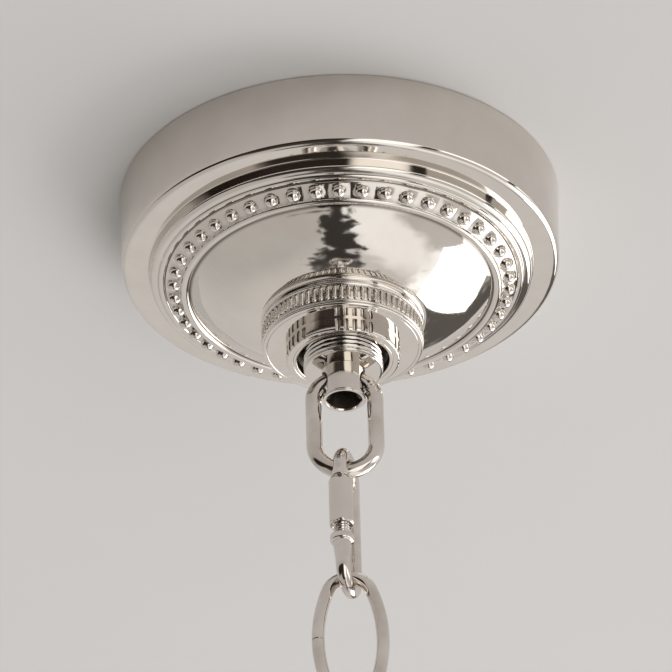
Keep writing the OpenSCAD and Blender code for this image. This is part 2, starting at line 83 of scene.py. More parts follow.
def soften(corners: Sequence[Corner], steps: int = 5, closed: bool = False) -> list[Point]:
    """Rounds an outline's corners.

    Args:
        corners: radius, depth and rounding radius of each corner; a rounding of 0 keeps it sharp.
        steps: segments in each rounding.
        closed: whether the outline closes on itself.

    Returns:
        The outline with an arc in place of each rounded corner.
    """
    made: list[Point] = []
    count = len(corners)
    for i, (x, y, fillet) in enumerate(corners):
        here = Vector((x, y))
        if fillet <= 0 or (not closed and i in (0, count - 1)):
            made.append((x, y))
            continue
        back = Vector(corners[i - 1][:2]) - here
        ahead = Vector(corners[(i + 1) % count][:2]) - here
        if back.length < 1e-6 or ahead.length < 1e-6:
            made.append((x, y))
            continue
        half = back.angle(ahead) / 2
        reach = min(fillet / math.tan(half), back.length * 0.48, ahead.length * 0.48)
        first, last = here + back.normalized() * reach, here + ahead.normalized() * reach
        for k in range(steps + 1):
            t = k / steps
            point = first * (1 - t) ** 2 + here * 2 * t * (1 - t) + last * t**2
            made.append((point.x, point.y))
    return made


def bulge(first: Point, last: Point, sag: float, steps: int) -> list[Point]:
    """Makes a line that bulges out of the sheet, downwards and away from the axis.

    Args:
        first: the line's start.
        last: the line's end.
        sag: height of the bulge at its middle.
        steps: number of segments.

    Returns:
        The points, both ends included.
    """
    run = Vector(last) - Vector(first)
    side = Vector((run.y, -run.x)).normalized()
    points = [Vector(first) + run * (i / steps) + side * sag * 4 * (i / steps) * (1 - i / steps)
              for i in range(steps + 1)]
    return [(p.x, p.y) for p in points]


def dense(outline: Sequence[Point], step: float) -> list[Point]:
    """Splits an outline's long segments.

    Args:
        outline: the points.
        step: longest segment wanted.

    Returns:
        The same outline with points added along its straight parts.
    """
    made = [outline[0]]
    for a, b in zip(outline, outline[1:]):
        pieces = max(1, math.ceil(math.dist(a, b) / step))
        made += [(a[0] + (b[0] - a[0]) * k / pieces, a[1] + (b[1] - a[1]) * k / pieces)
                 for k in range(1, pieces + 1)]
    return made


# ---------------------------------------------------------------------------------------------
# Meshes
# ---------------------------------------------------------------------------------------------


class Skin:
    """Vertices and faces of one piece, gathered in millimetres."""

    def __init__(self) -> None:
        """Starts an empty skin."""
        self.points: list[tuple[float, float, float]] = []
        self.faces: list[tuple[int, ...]] = []

    def add(self, x: float, y: float, depth: float) -> int:
        """Adds a vertex at x, y and a depth below the ceiling, and returns its index."""
        self.points.append((x * MM, y * MM, -depth * MM))
        return len(self.points) - 1

    def bridge(self, first: Sequence[int], last: Sequence[int], closed: bool = True) -> None:
        """Joins two rows of vertices with four-sided faces.

        Args:
            first: one row; a single vertex makes a fan.
            last: the other row, of the same length or a single vertex.
            closed: whether the rows are rings.
        """
        count = max(len(first), len(last))
        for i in range(count if closed else count - 1):
            k = (i + 1) % count
            a, b = (first[i], first[k]) if len(first) > 1 else (first[0], first[0])
            c, d = (last[k], last[i]) if len(last) > 1 else (last[0], last[0])
            corner = list(dict.fromkeys((a, b, c, d)))
            if len(corner) > 2:
                self.faces.append(tuple(corner))

    def lathe(self, outline: Sequence[Point], turns: int, closed: bool = True,
              shape: Shape | None = None, centre: Point = (0.0, 0.0), start: float = 0.0) -> None:
        """Turns an outline about a vertical axis.

        Args:
            outline: radius and depth of each point.
            turns: vertices in a ring.
            closed: whether the outline's end joins its start.
            shape: optional change of a point: takes its angle, radius and depth, and returns the
                new radius and depth.
            centre: where the vertical axis stands.
            start: angle of the first vertex in a ring, in radians.
        """
        rings: list[list[int]] = []
        for radius, depth in outline:
            ring: list[int] = []
            for i in range(1 if radius < 1e-6 else turns):
                angle = start + TAU * i / turns
                r, h = shape(angle, radius, depth) if shape else (radius, depth)
                ring.append(self.add(centre[0] + r * math.cos(angle),
                                     centre[1] + r * math.sin(angle), h))
            rings.append(ring)
        for a, b in zip(rings, rings[1:] + rings[:1] if closed else rings[1:]):
            self.bridge(a, b)

    def sweep(self, path: Sequence[Point], heading: float, radius: Callable[[int, float], float],
              sides: int, closed: bool) -> None:
        """Runs a round wire along a line that lies in a vertical plane through the axis.

        Args:
            path: distance along the plane's heading, and depth, of each point of the wire's middle.
            heading: the plane's direction seen from above, in radians.
            radius: gives the wire's radius at a point of the path and an angle round the wire.
            sides: vertices round the wire.
            closed: whether the wire closes on itself.
        """
        count = len(path)
        rings: list[list[int]] = []
        for i, here in enumerate(path):
            before = path[i - 1] if closed or i else here
            after = path[(i + 1) % count] if closed or i < count - 1 else here
            run = Vector((after[0] - before[0], after[1] - before[1])).normalized()
            ring: list[int] = []
            for k in range(sides):
                turn = TAU * k / sides
                r = radius(i, turn)
                across, out = r * math.cos(turn), r * math.sin(turn)
                x, h = here[0] + run.y * across, here[1] - run.x * across
                ring.append(self.add(x * math.cos(heading) - out * math.sin(heading),
                                     x * math.sin(heading) + out * math.cos(heading), h))
            rings.append(ring)
        for a, b in zip(rings, rings[1:] + rings[:1] if closed else rings[1:]):
            self.bridge(a, b)
        if not closed:
            for i, ring in ((0, rings[0]), (count - 1, rings[-1])):
                x, h = path[i]
                tip = self.add(x * math.cos(heading), x * math.sin(heading), h)
                self.bridge(ring, [tip])

    def build(self, name: str, crease: float = CREASE) -> bpy.types.Object:
        """Makes the object.

        Args:
            name: the piece's name.
            crease: edges that turn more than this angle, in radians, are shaded sharp.

        Returns:
            The new object, smooth shaded and linked to the scene.
        """
        mesh = bpy.data.meshes.new(name)
        mesh.from_pydata(self.points, [], self.faces)
        work = bmesh.new()
        work.from_mesh(mesh)
        bmesh.ops.remove_doubles(work, verts=work.verts, dist=1e-6)
        bmesh.ops.dissolve_degenerate(work, dist=1e-7, edges=work.edges)
        bmesh.ops.recalc_face_normals(work, faces=work.faces)
        work.to_mesh(mesh)
        work.free()
        mesh.shade_smooth()
        mesh.set_sharp_from_angle(angle=crease)
        made = bpy.data.objects.new(name, mesh)
        bpy.context.scene.collection.objects.link(made)
        return made


def carve(piece: bpy.types.Object, cutter: bpy.types.Object) -> None:
    """Takes one mesh out of another, and removes the cutter.

    Args:
        piece: what is cut.
        cutter: what is taken away.
    """
    cut = piece.modifiers.new("cut", "BOOLEAN")
    cut.operation, cut.solver, cut.object = "DIFFERENCE", "EXACT", cutter
    solved = piece.evaluated_get(bpy.context.evaluated_depsgraph_get())
    mesh = bpy.data.meshes.new_from_object(solved)
    piece.modifiers.remove(cut)
    piece.data = mesh
    bpy.data.objects.remove(cutter)


def helix(pitch: float, depth: float, top: float, foot: float, runout: float = 0.6) -> Shape:
    """Makes the shape of a screw thread, cut into a smooth shaft.

    Args:
        pitch: distance from one turn to the next.
        depth: depth of the thread.
        top: depth below the ceiling where the thread starts.
        foot: depth below the ceiling where it ends.
        runout: length over which the thread fades out at each end.

    Returns:
        A shape for Skin.lathe.
    """
    def cut(angle: float, radius: float, h: float) -> Point:
        """Sinks the point by the thread's depth there.

        Args:
            angle: the point's angle round the axis, in radians.
            radius: its distance from the axis.
            h: its depth.

        Returns:
            The new radius and depth.
        """
        share = min(1.0, max(0.0, min(h - top, foot - h) / runout))
        wave = 0.5 - 0.5 * math.cos(TAU * (h / pitch + angle / TAU))
        return radius - depth * share * min(1.0, 1.25 * wave), h
    return cut


# ---------------------------------------------------------------------------------------------
# Shared shader effects
# ---------------------------------------------------------------------------------------------


class Effects:
    """Shader node groups that several finishes use, each built once."""

    def __init__(self) -> None:
        """Starts with no group built."""
        self.made: dict[str, bpy.types.NodeTree] = {}

    def _start(self, name: str, inputs: Sequence[tuple[str, float]],
               outputs: Sequence[tuple[str, str]]) -> tuple[bpy.types.NodeTree, bpy.types.Node,
                                                            bpy.types.Node]:
        """Makes an empty group with number inputs.

        Args:
            name: the group's name.
            inputs: name and default of each number that goes in.
            outputs: name and socket type of each result.

        Returns:
            The group, its input node and its output node.
        """
        tree = bpy.data.node_groups.new(name, "ShaderNodeTree")
        for label, value in inputs:
            socket = tree.interface.new_socket(name=label, in_out="INPUT",
                                               socket_type="NodeSocketFloat")
            socket.default_value = value
        for label, kind in outputs:
            tree.interface.new_socket(name=label, in_out="OUTPUT", socket_type=kind)
        self.made[name] = tree
        return tree, tree.nodes.new("NodeGroupInput"), tree.nodes.new("NodeGroupOutput")

    @staticmethod
    def math(tree: bpy.types.NodeTree, kind: str, a: object, b: object,
             clamp: bool = False) -> bpy.types.NodeSocket:
        """Adds a Math node.

        Args:
            tree: the tree it goes in.
            kind: the operation's name.
            a: a socket or a number.
            b: a socket or a number.
            clamp: whether the result is kept between 0 and 1.

        Returns:
            The node's result.
        """
        node = tree.nodes.new("ShaderNodeMath")
        node.operation, node.use_clamp = kind, clamp
        for socket, value in zip(node.inputs, (a, b)):
            if isinstance(value, bpy.types.NodeSocket):
                tree.links.new(value, socket)
            else:
                socket.default_value = value
        return node.outputs[0]

    @staticmethod
    def noise(tree: bpy.types.NodeTree, where: bpy.types.NodeSocket, scale: object,
              detail: float = 2.0, roughness: float = 0.5) -> bpy.types.NodeSocket:
        """Adds a Noise Texture.

        Args:
            tree: the tree it goes in.
            where: the coordinates.
            scale: a socket or a number of cells in a metre.
            detail: octaves.
            roughness: how strong the finer octaves are.

        Returns:
            The noise's value, between 0 and 1.
        """
        node = tree.nodes.new("ShaderNodeTexNoise")
        tree.links.new(where, node.inputs["Vector"])
        if isinstance(scale, bpy.types.NodeSocket):
            tree.links.new(scale, node.inputs["Scale"])
        else:
            node.inputs["Scale"].default_value = scale
        node.inputs["Detail"].default_value = detail
        node.inputs["Roughness"].default_value = roughness
        return node.outputs[0]

    @staticmethod
    def ramp(tree: bpy.types.NodeTree, value: bpy.types.NodeSocket, low: float,
             high: float) -> bpy.types.NodeSocket:
        """Adds a smooth step.

        Args:
            tree: the tree it goes in.
            value: what is mapped.
            low: the value that becomes 0.
            high: the value that becomes 1.

        Returns:
            The stepped value.
        """
        node = tree.nodes.new("ShaderNodeMapRange")
        node.interpolation_type = "SMOOTHSTEP"
        tree.links.new(value, node.inputs["Value"])
        node.inputs["From Min"].default_value = low
        node.inputs["From Max"].default_value = high
        return node.outputs[0]

    @staticmethod
    def mix(tree: bpy.types.NodeTree, share: bpy.types.NodeSocket, first: object,
            last: object) -> bpy.types.NodeSocket:
        """Mixes two colours.

        Args:
            tree: the tree it goes in.
            share: how much of the second colour shows.
            first: a colour or a socket.
            last: a colour or a socket.

        Returns:
            The mixed colour.
        """
        node = tree.nodes.new("ShaderNodeMix")
        node.data_type = "RGBA"
        tree.links.new(share, node.inputs[0])
        for socket, value in ((node.inputs[6], first), (node.inputs[7], last)):
            if isinstance(value, bpy.types.NodeSocket):
                tree.links.new(value, socket)
            else:
                socket.default_value = (*value, 1.0)
        return node.outputs[2]

    @staticmethod
    def bump(tree: bpy.types.NodeTree, height: bpy.types.NodeSocket, distance: float,
             under: bpy.types.NodeSocket | None = None) -> bpy.types.NodeSocket:
        """Adds a Bump node.

        Args:
            tree: the tree it goes in.
            height: a height from 0 to 1.
            distance: what a height of 1 stands for, in metres.
            under: the normal that it is laid on.

        Returns:
            The bumped normal.
        """
        node = tree.nodes.new("ShaderNodeBump")
        node.inputs["Distance"].default_value = distance
        tree.links.new(height, node.inputs["Height"])
        if under is not None:
            tree.links.new(under, node.inputs["Normal"])
        return node.outputs[0]

    def polish(self) -> bpy.types.NodeTree:
        """Builds the buffed surface of plated metal: slow waves, fine hairlines and faint haze.

        Returns:
            The group. Waves and Scratches go to bump heights, and Haze to roughness.
        """
        name = "buffed_surface"
        if name in self.made:
            return self.made[name]
        tree, source, result = self._start(
            name, [("Wave Scale", 60.0), ("Scratch Scale", 900.0), ("Haze Scale", 120.0)],
            [("Waves", "NodeSocketFloat"), ("Scratches", "NodeSocketFloat"),
             ("Haze", "NodeSocketFloat")])
        where = tree.nodes.new("ShaderNodeTexCoord").outputs["Object"]
        waves = self.noise(tree, where, source.outputs["Wave Scale"], 1.5, 0.4)
        stretch = tree.nodes.new("ShaderNodeMapping")
        stretch.inputs["Scale"].default_value = (1.0, 1.0, 0.06)
        stretch.inputs["Rotation"].default_value = (0.3, 0.2, 0.4)
        tree.links.new(where, stretch.inputs["Vector"])
        lines = self.noise(tree, stretch.outputs[0], source.outputs["Scratch Scale"], 2.0, 0.7)
        haze = self.ramp(tree, self.noise(tree, where, source.outputs["Haze Scale"], 4.0, 0.6),
                         0.42, 0.74)
        tree.links.new(waves, result.inputs["Waves"])
        tree.links.new(lines, result.inputs["Scratches"])
        tree.links.new(haze, result.inputs["Haze"])
        return tree

    def dust(self) -> bpy.types.NodeTree:
        """Builds the dust that settles on faces that look up.

        Returns:
            The group; its Dust output is a mask.
        """
        name = "settled_dust"
        if name in self.made:
            return self.made[name]
        tree, source, result = self._start(name, [("Amount", 0.5), ("Scale", 260.0)],
                                           [("Dust", "NodeSocketFloat")])
        normal = tree.nodes.new("ShaderNodeNewGeometry").outputs["Normal"]
        split = tree.nodes.new("ShaderNodeSeparateXYZ")
        tree.links.new(normal, split.inputs[0])
        upward = self.ramp(tree, split.outputs["Z"], 0.25, 0.95)
        where = tree.nodes.new("ShaderNodeTexCoord").outputs["Object"]
        cloud = self.ramp(tree, self.noise(tree, where, source.outputs["Scale"], 5.0, 0.65),
                          0.30, 0.72)
        dust = self.math(tree, "MULTIPLY", upward, cloud)
        dust = self.math(tree, "MULTIPLY", dust, source.outputs["Amount"], clamp=True)
        tree.links.new(dust, result.inputs["Dust"])
        return tree

    def wear(self) -> bpy.types.NodeTree:
        """Builds the rubbing of edges that stand out, and painted shade darkening grooves and
        creases.

        Returns:
            The group; its Wear output is a mask of rubbed edges, and its Crease Shade output a mask
            of painted shade in hollows.
        """
        name = "rubbed_edges_and_crease_shade"
        if name in self.made:
            return self.made[name]
        tree, source, result = self._start(
            name, [("Amount", 0.6), ("Scale", 400.0), ("Depth", 0.6)],
            [("Wear", "NodeSocketFloat"), ("Crease Shade", "NodeSocketFloat")])
        sharp = tree.nodes.new("ShaderNodeNewGeometry").outputs["Pointiness"]
        edge = self.ramp(tree, sharp, 0.52, 0.62)
        where = tree.nodes.new("ShaderNodeTexCoord").outputs["Object"]
        patch = self.ramp(tree, self.noise(tree, where, source.outputs["Scale"], 3.0, 0.6),
                          0.35, 0.65)
        worn = self.math(tree, "MULTIPLY", edge, patch)
        worn = self.math(tree, "MULTIPLY", worn, source.outputs["Amount"], clamp=True)
        tree.links.new(worn, result.inputs["Wear"])
        # Painted shade: hollow, creased places, where shade falls, get a dark mask.
        crease_shade = self.math(tree, "MULTIPLY", self.ramp(tree, sharp, 0.49, 0.44),
                          source.outputs["Depth"], clamp=True)
        tree.links.new(crease_shade, result.inputs["Crease Shade"])
        return tree

    def clouds(self) -> bpy.types.NodeTree:
        """Builds soft uneven colour, for plated and painted metal.

        Returns:
            The group; its Cloud output runs from 0 to 1.
        """
        name = "uneven_colour"
        if name in self.made:
            return self.made[name]
        tree, source, result = self._start(name, [("Scale", 90.0)], [("Cloud", "NodeSocketFloat")])
        where = tree.nodes.new("ShaderNodeTexCoord").outputs["Object"]
        cloud = self.ramp(tree, self.noise(tree, where, source.outputs["Scale"], 4.0, 0.55),
                          0.3, 0.7)
        tree.links.new(cloud, result.inputs["Cloud"])
        return tree


EFFECTS = Effects()
Colour = tuple[float, float, float]
# Near-black colour of the painted shade laid into grooves and creases.
CREASE_SHADE_COLOUR: Colour = (0.05, 0.042, 0.035)
DUST_COLOUR: Colour = (0.42, 0.40, 0.37)
DUST_ROUGHNESS = 0.5


# ---------------------------------------------------------------------------------------------
# Finishes
# ---------------------------------------------------------------------------------------------


@dataclass(frozen=True)
class Metal:
    """A metal finish: plated, turned, zinc coated, blackened or painted.

    Attributes:
        name: the material's name.
        colour: the metal's own colour.
        shade: a second colour, mixed in unevenly.
        roughness: roughness of the clean surface.
        haze: roughness added in patches.
        wave_scale: slow waves in a metre; wave_height: their height in metres.
        scratch_scale: hairlines in a metre; scratch_height: their depth in metres.
        dust: how much dust lies on faces that look up.
        wear: how much edges are rubbed.
        worn: colour of a rubbed edge.
        crease_shade: how much painted shade darkens grooves and creases.
        metallic: 1 for bare or plated metal and 0 under paint.
    """

    name: str
    colour: Colour
    shade: Colour
    roughness: float = 0.05
    haze: float = 0.03
    wave_scale: float = 60.0
    wave_height: float = 2.0e-5
    scratch_scale: float = 900.0
    scratch_height: float = 2.0e-7
    dust: float = 0.35
    wear: float = 0.3
    worn: Colour = (0.86, 0.84, 0.80)
    crease_shade: float = 0.7
    metallic: float = 1.0

    def build(self) -> bpy.types.Material:
        """Makes the material, or finds the one already made.

        Returns:
            The material.
        """
        if self.name in bpy.data.materials:
            return bpy.data.materials[self.name]
        material = bpy.data.materials.new(self.name)
        material.use_nodes = True
        material.diffuse_color = (*self.colour, 1.0)
        tree = material.node_tree
        shader = tree.nodes["Principled BSDF"]
        shader.inputs["Metallic"].default_value = self.metallic
        polish = self._group(tree, EFFECTS.polish(), {"Wave Scale": self.wave_scale,
                                                      "Scratch Scale": self.scratch_scale})
        cloud = self._group(tree, EFFECTS.clouds(), {}).outputs["Cloud"]
        edges = self._group(tree, EFFECTS.wear(), {"Amount": self.wear, "Depth": self.crease_shade})
        dust = self._group(tree, EFFECTS.dust(), {"Amount": self.dust}).outputs["Dust"]
        colour = EFFECTS.mix(tree, cloud, self.colour, self.shade)
        colour = EFFECTS.mix(tree, edges.outputs["Wear"], colour, self.worn)
        # Painted shade: grooves and creases are darkened towards near black.
        colour = EFFECTS.mix(tree, edges.outputs["Crease Shade"], colour, CREASE_SHADE_COLOUR)
        colour = EFFECTS.mix(tree, dust, colour, DUST_COLOUR)
        tree.links.new(colour, shader.inputs["Base Color"])
        rough = EFFECTS.math(tree, "MULTIPLY", polish.outputs["Haze"], self.haze)
        rough = EFFECTS.math(tree, "ADD", rough, self.roughness)
        powder = EFFECTS.math(tree, "MULTIPLY", dust, DUST_ROUGHNESS)
        rough = EFFECTS.math(tree, "ADD", rough, powder, clamp=True)
        tree.links.new(rough, shader.inputs["Roughness"])
        slow = EFFECTS.bump(tree, polish.outputs["Waves"], self.wave_height)
        fine = EFFECTS.bump(tree, polish.outputs["Scratches"], self.scratch_height, slow)
        tree.links.new(fine, shader.inputs["Normal"])
        return material

    @staticmethod
    def _group(tree: bpy.types.NodeTree, effect: bpy.types.NodeTree,
               values: dict[str, float]) -> bpy.types.Node:
        """Places a shared effect in a material.

        Args:
            tree: the material's tree.
            effect: the effect's group.
            values: the inputs that differ from the group's own.

        Returns:
            The group node.
        """
        node = tree.nodes.new("ShaderNodeGroup")
        node.node_tree = effect
        for label, value in values.items():
            node.inputs[label].default_value = value
        return node


NICKEL = (0.735, 0.690, 0.640)
NICKEL_SHADE = (0.700, 0.655, 0.605)
SPUN_NICKEL = Metal("spun_nickel", NICKEL, NICKEL_SHADE, roughness=0.045, haze=0.035,
                    wave_scale=60.0, wave_height=2.4e-4)
TURNED_NICKEL = Metal("turned_nickel", NICKEL, NICKEL_SHADE, roughness=0.05, haze=0.03,
                      wave_scale=160.0, wave_height=3.0e-6)
# Its darker second colour, mixed in unevenly, is partly random tone and partly painted reflection
# of the dark room.
WIRE_NICKEL = Metal("wire_nickel", (0.745, 0.70, 0.655), (0.60, 0.545, 0.50), roughness=0.06,
                    haze=0.05, wave_scale=230.0, wave_height=6.0e-6)
ZINC = Metal("zinc_plated_steel", (0.60, 0.61, 0.60), (0.50, 0.51, 0.49), roughness=0.28,
             haze=0.16, wave_scale=300.0, wave_height=4.0e-6, scratch_height=2e-6, dust=0.6,
             wear=0.5)
BRASS = Metal("turned_brass", (0.72, 0.53, 0.25), (0.60, 0.43, 0.20), roughness=0.22, haze=0.14,
              scratch_height=1e-6, dust=0.5, wear=0.5, worn=(0.88, 0.72, 0.42))
GREEN = Metal("green_dyed_screw", (0.05, 0.30, 0.12), (0.04, 0.22, 0.10), roughness=0.32,
              haze=0.1, metallic=0.6, dust=0.5, worn=(0.55, 0.60, 0.52))
BLACK_STEEL = Metal("blackened_steel", (0.06, 0.06, 0.065), (0.09, 0.085, 0.08), roughness=0.38,
                    haze=0.12, wear=0.5, worn=(0.35, 0.34, 0.33))
BLACK_PLASTIC = Metal("moulded_plastic", (0.022, 0.022, 0.024), (0.035, 0.034, 0.033),
                      roughness=0.42, haze=0.12, wave_scale=900.0, wave_height=4.0e-6,
                      metallic=0.0, worn=(0.09, 0.09, 0.09), dust=0.7)
# Near-black, dull nickel laid on bores and recesses: painted shade.
PAINTED_SHADE_BORE = Metal("painted_shade_bore", (0.13, 0.105, 0.085), (0.06, 0.05, 0.042), roughness=0.42,
                 haze=0.2, dust=0.2, wear=0.1)


class Body(Enum):
    """The bodies that pieces ride on."""

    MOUNT = "mount"
    CANOPY = "canopy"
    COLLAR = "collar"
    TOP_LINK = "top_link"
    QUICK_LINK = "quick_link"
    SLEEVE_NUT = "sleeve_nut"
    OVAL_LINK = "oval_link"


def place(piece: bpy.types.Object, finish: Metal, body: Body, slot: str,
          nodes: Sequence[str]) -> None:
    """Dresses a new piece and ties it to the frame.

    Args:
        piece: the object.
        finish: its finish.
        body: the body that it rides on.
        slot: the material slot that it stands for; not used.
        nodes: the solids that it replaces.
    """
    piece.data.materials.append(finish.build())
    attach(piece, body.value)
    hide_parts(*nodes)
    LOG.info("%s: %d faces on %s", piece.name, len(piece.data.polygons), body.value)


def line(piece: bpy.types.Object, finish: Metal, hidden: Callable[[float, float], bool]) -> None:
    """Gives the hidden inner faces of a piece a second finish, which here is always the dark one of
    painted shade.

    Args:
        piece: the object, already dressed.
        finish: the inner finish.
        hidden: tells from a face's radius and depth, in millimetres, whether it is one of them.
    """
    piece.data.materials.append(finish.build())
    last = len(piece.data.materials) - 1
    for face in piece.data.polygons:
        middle = face.center / MM
        if hidden(math.hypot(middle.x, middle.y), -middle.z):
            face.material_index = last


def dress(node: str, finish: Metal) -> None:
    """Gives a solid that stays in view its finish.

    Args:
        node: the solid's name.
        finish: the finish.
    """
    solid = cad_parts[node]
    if not solid.material_slots:
        solid.data.materials.append(finish.build())
    for place_for in solid.material_slots:
        place_for.material = finish.build()
    LOG.info("%s: kept, %s", node, finish.name)


# ---------------------------------------------------------------------------------------------
# Canopy
# ---------------------------------------------------------------------------------------------


@dataclass
class SpunCanopy:
    """The spun shell with its mouldings, ring of pressed beads and shallow dome."""

    rim_r: float = 68.0
    wall_r: float = 67.2
    shoulder: float = 2.2
    ledge: float = 24.4
    step_r: float = 59.0
    step: float = 27.0
    ovolo_r: float = 56.1
    ovolo: float = 28.6
    strip_out: Point = (53.9, 29.6)
    strip_in: Point = (49.3, 32.6)
    dome_out: Point = (46.6, 32.6)
    dome_in: Point = (25.6, 44.0)
    dome_sag: float = 1.5
    neck_r: float = 24.3
    foot: float = 45.8
    hole_r: float = 13.15
    sheet: float = 1.2
    beads: int = 46
    bead_r: float = 2.1
    bead_ring: float = 51.4
    side: int = 8               # segments along each side of a bead's cell

    def outside(self) -> list[Point]:
        """Makes the outline that shows, from the bead strip's inner edge to the centre hole.

        Returns:
            The outline's points.
        """
        ridge_r = (self.strip_in[0] - self.dome_out[0]) / 2
        ridge = arc((self.strip_in[0] - ridge_r, self.strip_in[1]), (ridge_r, 0.9), 6, 174, 14)
        dome = bulge(self.dome_out, self.dome_in, self.dome_sag, 26)
        neck = soften([(*dome[-1], 0.0), (self.neck_r + 0.75, 44.0, 0.7),
                       (self.neck_r, 44.6, 0.5), (self.neck_r, self.foot, 0.0)])
        return [self.strip_in] + ridge + dome[1:-1] + neck + [(self.hole_r, self.foot)]

    def inside(self) -> list[Point]:
        """Makes the hidden outline, from the centre hole out to the dome's edge.

        Returns:
            The outline's points.
        """
        slope = Vector((self.dome_out[0] - self.dome_in[0], self.dome_out[1] - self.dome_in[1]))
        lift = Vector((slope.y, -slope.x)).normalized() * self.sheet
        dome = [(p[0] + lift.x, p[1] + lift.y)
                for p in reversed(bulge(self.dome_out, self.dome_in, self.dome_sag, 26)[1:-1])]
        floor = self.foot - self.sheet
        return [(self.hole_r, floor), (self.neck_r - 1.3, floor)] + dome

    def build(self) -> bpy.types.Object:
        """Builds the shell as one skin, with every bead pressed out of it.

        Returns:
            The piece.
        """
        skin = Skin()
        columns = self.beads * self.side
        start = math.radians(-90) - TAU / self.beads / 2
        run = Vector((self.strip_in[0] - self.strip_out[0], self.strip_in[1] - self.strip_out[1]))
        lift = Vector((run.y, -run.x)).normalized() * self.sheet
        lift = -lift if lift.y > 0 else lift
        inner_out = (self.strip_out[0] + lift.x, self.strip_out[1] + lift.y)
        inner_in = (self.strip_in[0] + lift.x, self.strip_in[1] + lift.y)
        skin.lathe(self.outside() + self.inside() + [inner_in], columns, closed=False, start=start)
        wall = soften([(self.rim_r, 0.25, 0.2), (self.wall_r, self.ledge, self.shoulder * 1.05),
                       (self.step_r, self.ledge, 0.5), (self.step_r - 0.3, self.step, 0.0)], 9)
        ovolo = arc((self.ovolo_r, self.step), (2.6, self.ovolo - self.step), 0, 84, 12)
        lip = arc(((self.ovolo_r + self.strip_out[0]) / 2, self.ovolo),
                  ((self.ovolo_r - self.strip_out[0]) / 2, 0.7), 10, 150, 12)
        back = soften([(*inner_out, 0.0), (55.6, 27.7, 0.5), (57.6, 26.0, 0.9),
                       (self.step_r - 1.2, self.ledge - self.sheet, 0.5),
                       (self.wall_r - self.sheet, self.ledge - self.sheet, 1.4),
                       (self.rim_r - self.sheet, 0.0, 0.0), (self.rim_r - 0.25, 0.0, 0.1),
                       (self.rim_r, 0.25, 0.0)], 5)
        skin.lathe(back + wall[1:] + ovolo[1:] + lip + [self.strip_out], columns, closed=False,
                   start=start)
        self._cells(skin, self.strip_out, self.strip_in, self.bead_r)
        self._cells(skin, inner_out, inner_in, self.bead_r - self.sheet)
        return skin.build("spun_canopy_shell", math.radians(40))

    def _cells(self, skin: Skin, outer: Point, inner: Point, radius: float) -> None:
        """Fills a strip with cells, each holding one domed bead.

        Args:
            skin: where the faces go.
            outer: the strip's outer edge.
            inner: its inner edge.
            radius: the bead's radius.
        """
        run = Vector(inner) - Vector(outer)
        length, along = run.length, run.normalized()
        out = Vector((-along.y, along.x))
        out = -out if out.y < 0 else out
        middle = (Vector(outer) + Vector(inner)) / 2
        shift = (middle.x - self.bead_ring) / -along.x if along.x else 0.0
        cell = TAU / self.beads
        side, half = self.side, length / 2
        for b in range(self.beads):
            heading = math.radians(-90) + b * cell

            def point(s: float, t: float, n: float) -> int:
                """Adds a vertex of the cell.

                Args:
                    s: where it lies across the cell, as a share of the cell's angle.
                    t: how far it lies along the strip.
                    n: how far it stands above the strip.

                Returns:
                    The vertex's index.
                """
                spot = middle + along * t + out * n
                angle = heading + s * cell
                return skin.add(spot.x * math.cos(angle), spot.x * math.sin(angle), spot.y)

            edge: list[Point] = []
            for k in range(4 * side):
                leg, step = divmod(k, side)
                u = step / side - 0.5
                edge.append([(u, -half), (0.5, u * length), (-u, half), (-0.5, -u * length)][leg])
            wide = self.bead_ring * cell
            rings = [[point(s, t, 0.0) for s, t in edge]]
            turns = [math.atan2(t - shift, s * wide) for s, t in edge]
            evened = [math.radians(-135 + 360 * k / (4 * side)) for k in range(4 * side)]
            rings.append([point(math.cos(a * 0.5 + e * 0.5) * radius * 1.10 / wide,
                                shift + math.sin(a * 0.5 + e * 0.5) * radius * 1.10, 0.0)
                          for a, e in zip(self._unwrap(turns), evened)])
            rows = [math.radians(q) for q in (84, 74, 62, 50, 38, 26, 13)]
            for rho, high in [(1.03, 0.03)] + [(math.sin(q), math.cos(q)) for q in rows]:
                rings.append([point(math.cos(e) * radius * rho / wide,
                                    shift + math.sin(e) * radius * rho, radius * high)
                              for e in evened])
            for a, c in zip(rings, rings[1:]):
                skin.bridge(a, c)
            skin.bridge(rings[-1], [point(0.0, shift, radius)])

    @staticmethod
    def _unwrap(turns: Sequence[float]) -> list[float]:
        """Makes a run of angles grow steadily from the first one.

        Args:
            turns: the angles, in radians.

        Returns:
            The same angles, each with whole turns added.
        """
        grown = [turns[0]]
        for turn in turns[1:]:
            while turn < grown[-1]:
                turn += TAU
            grown.append(turn)
        return grown

    def make(self) -> None:
        """Builds and places the shell."""
        place(self.build(), SPUN_NICKEL, Body.CANOPY, "nickel_spun", ["canopy_shell"])


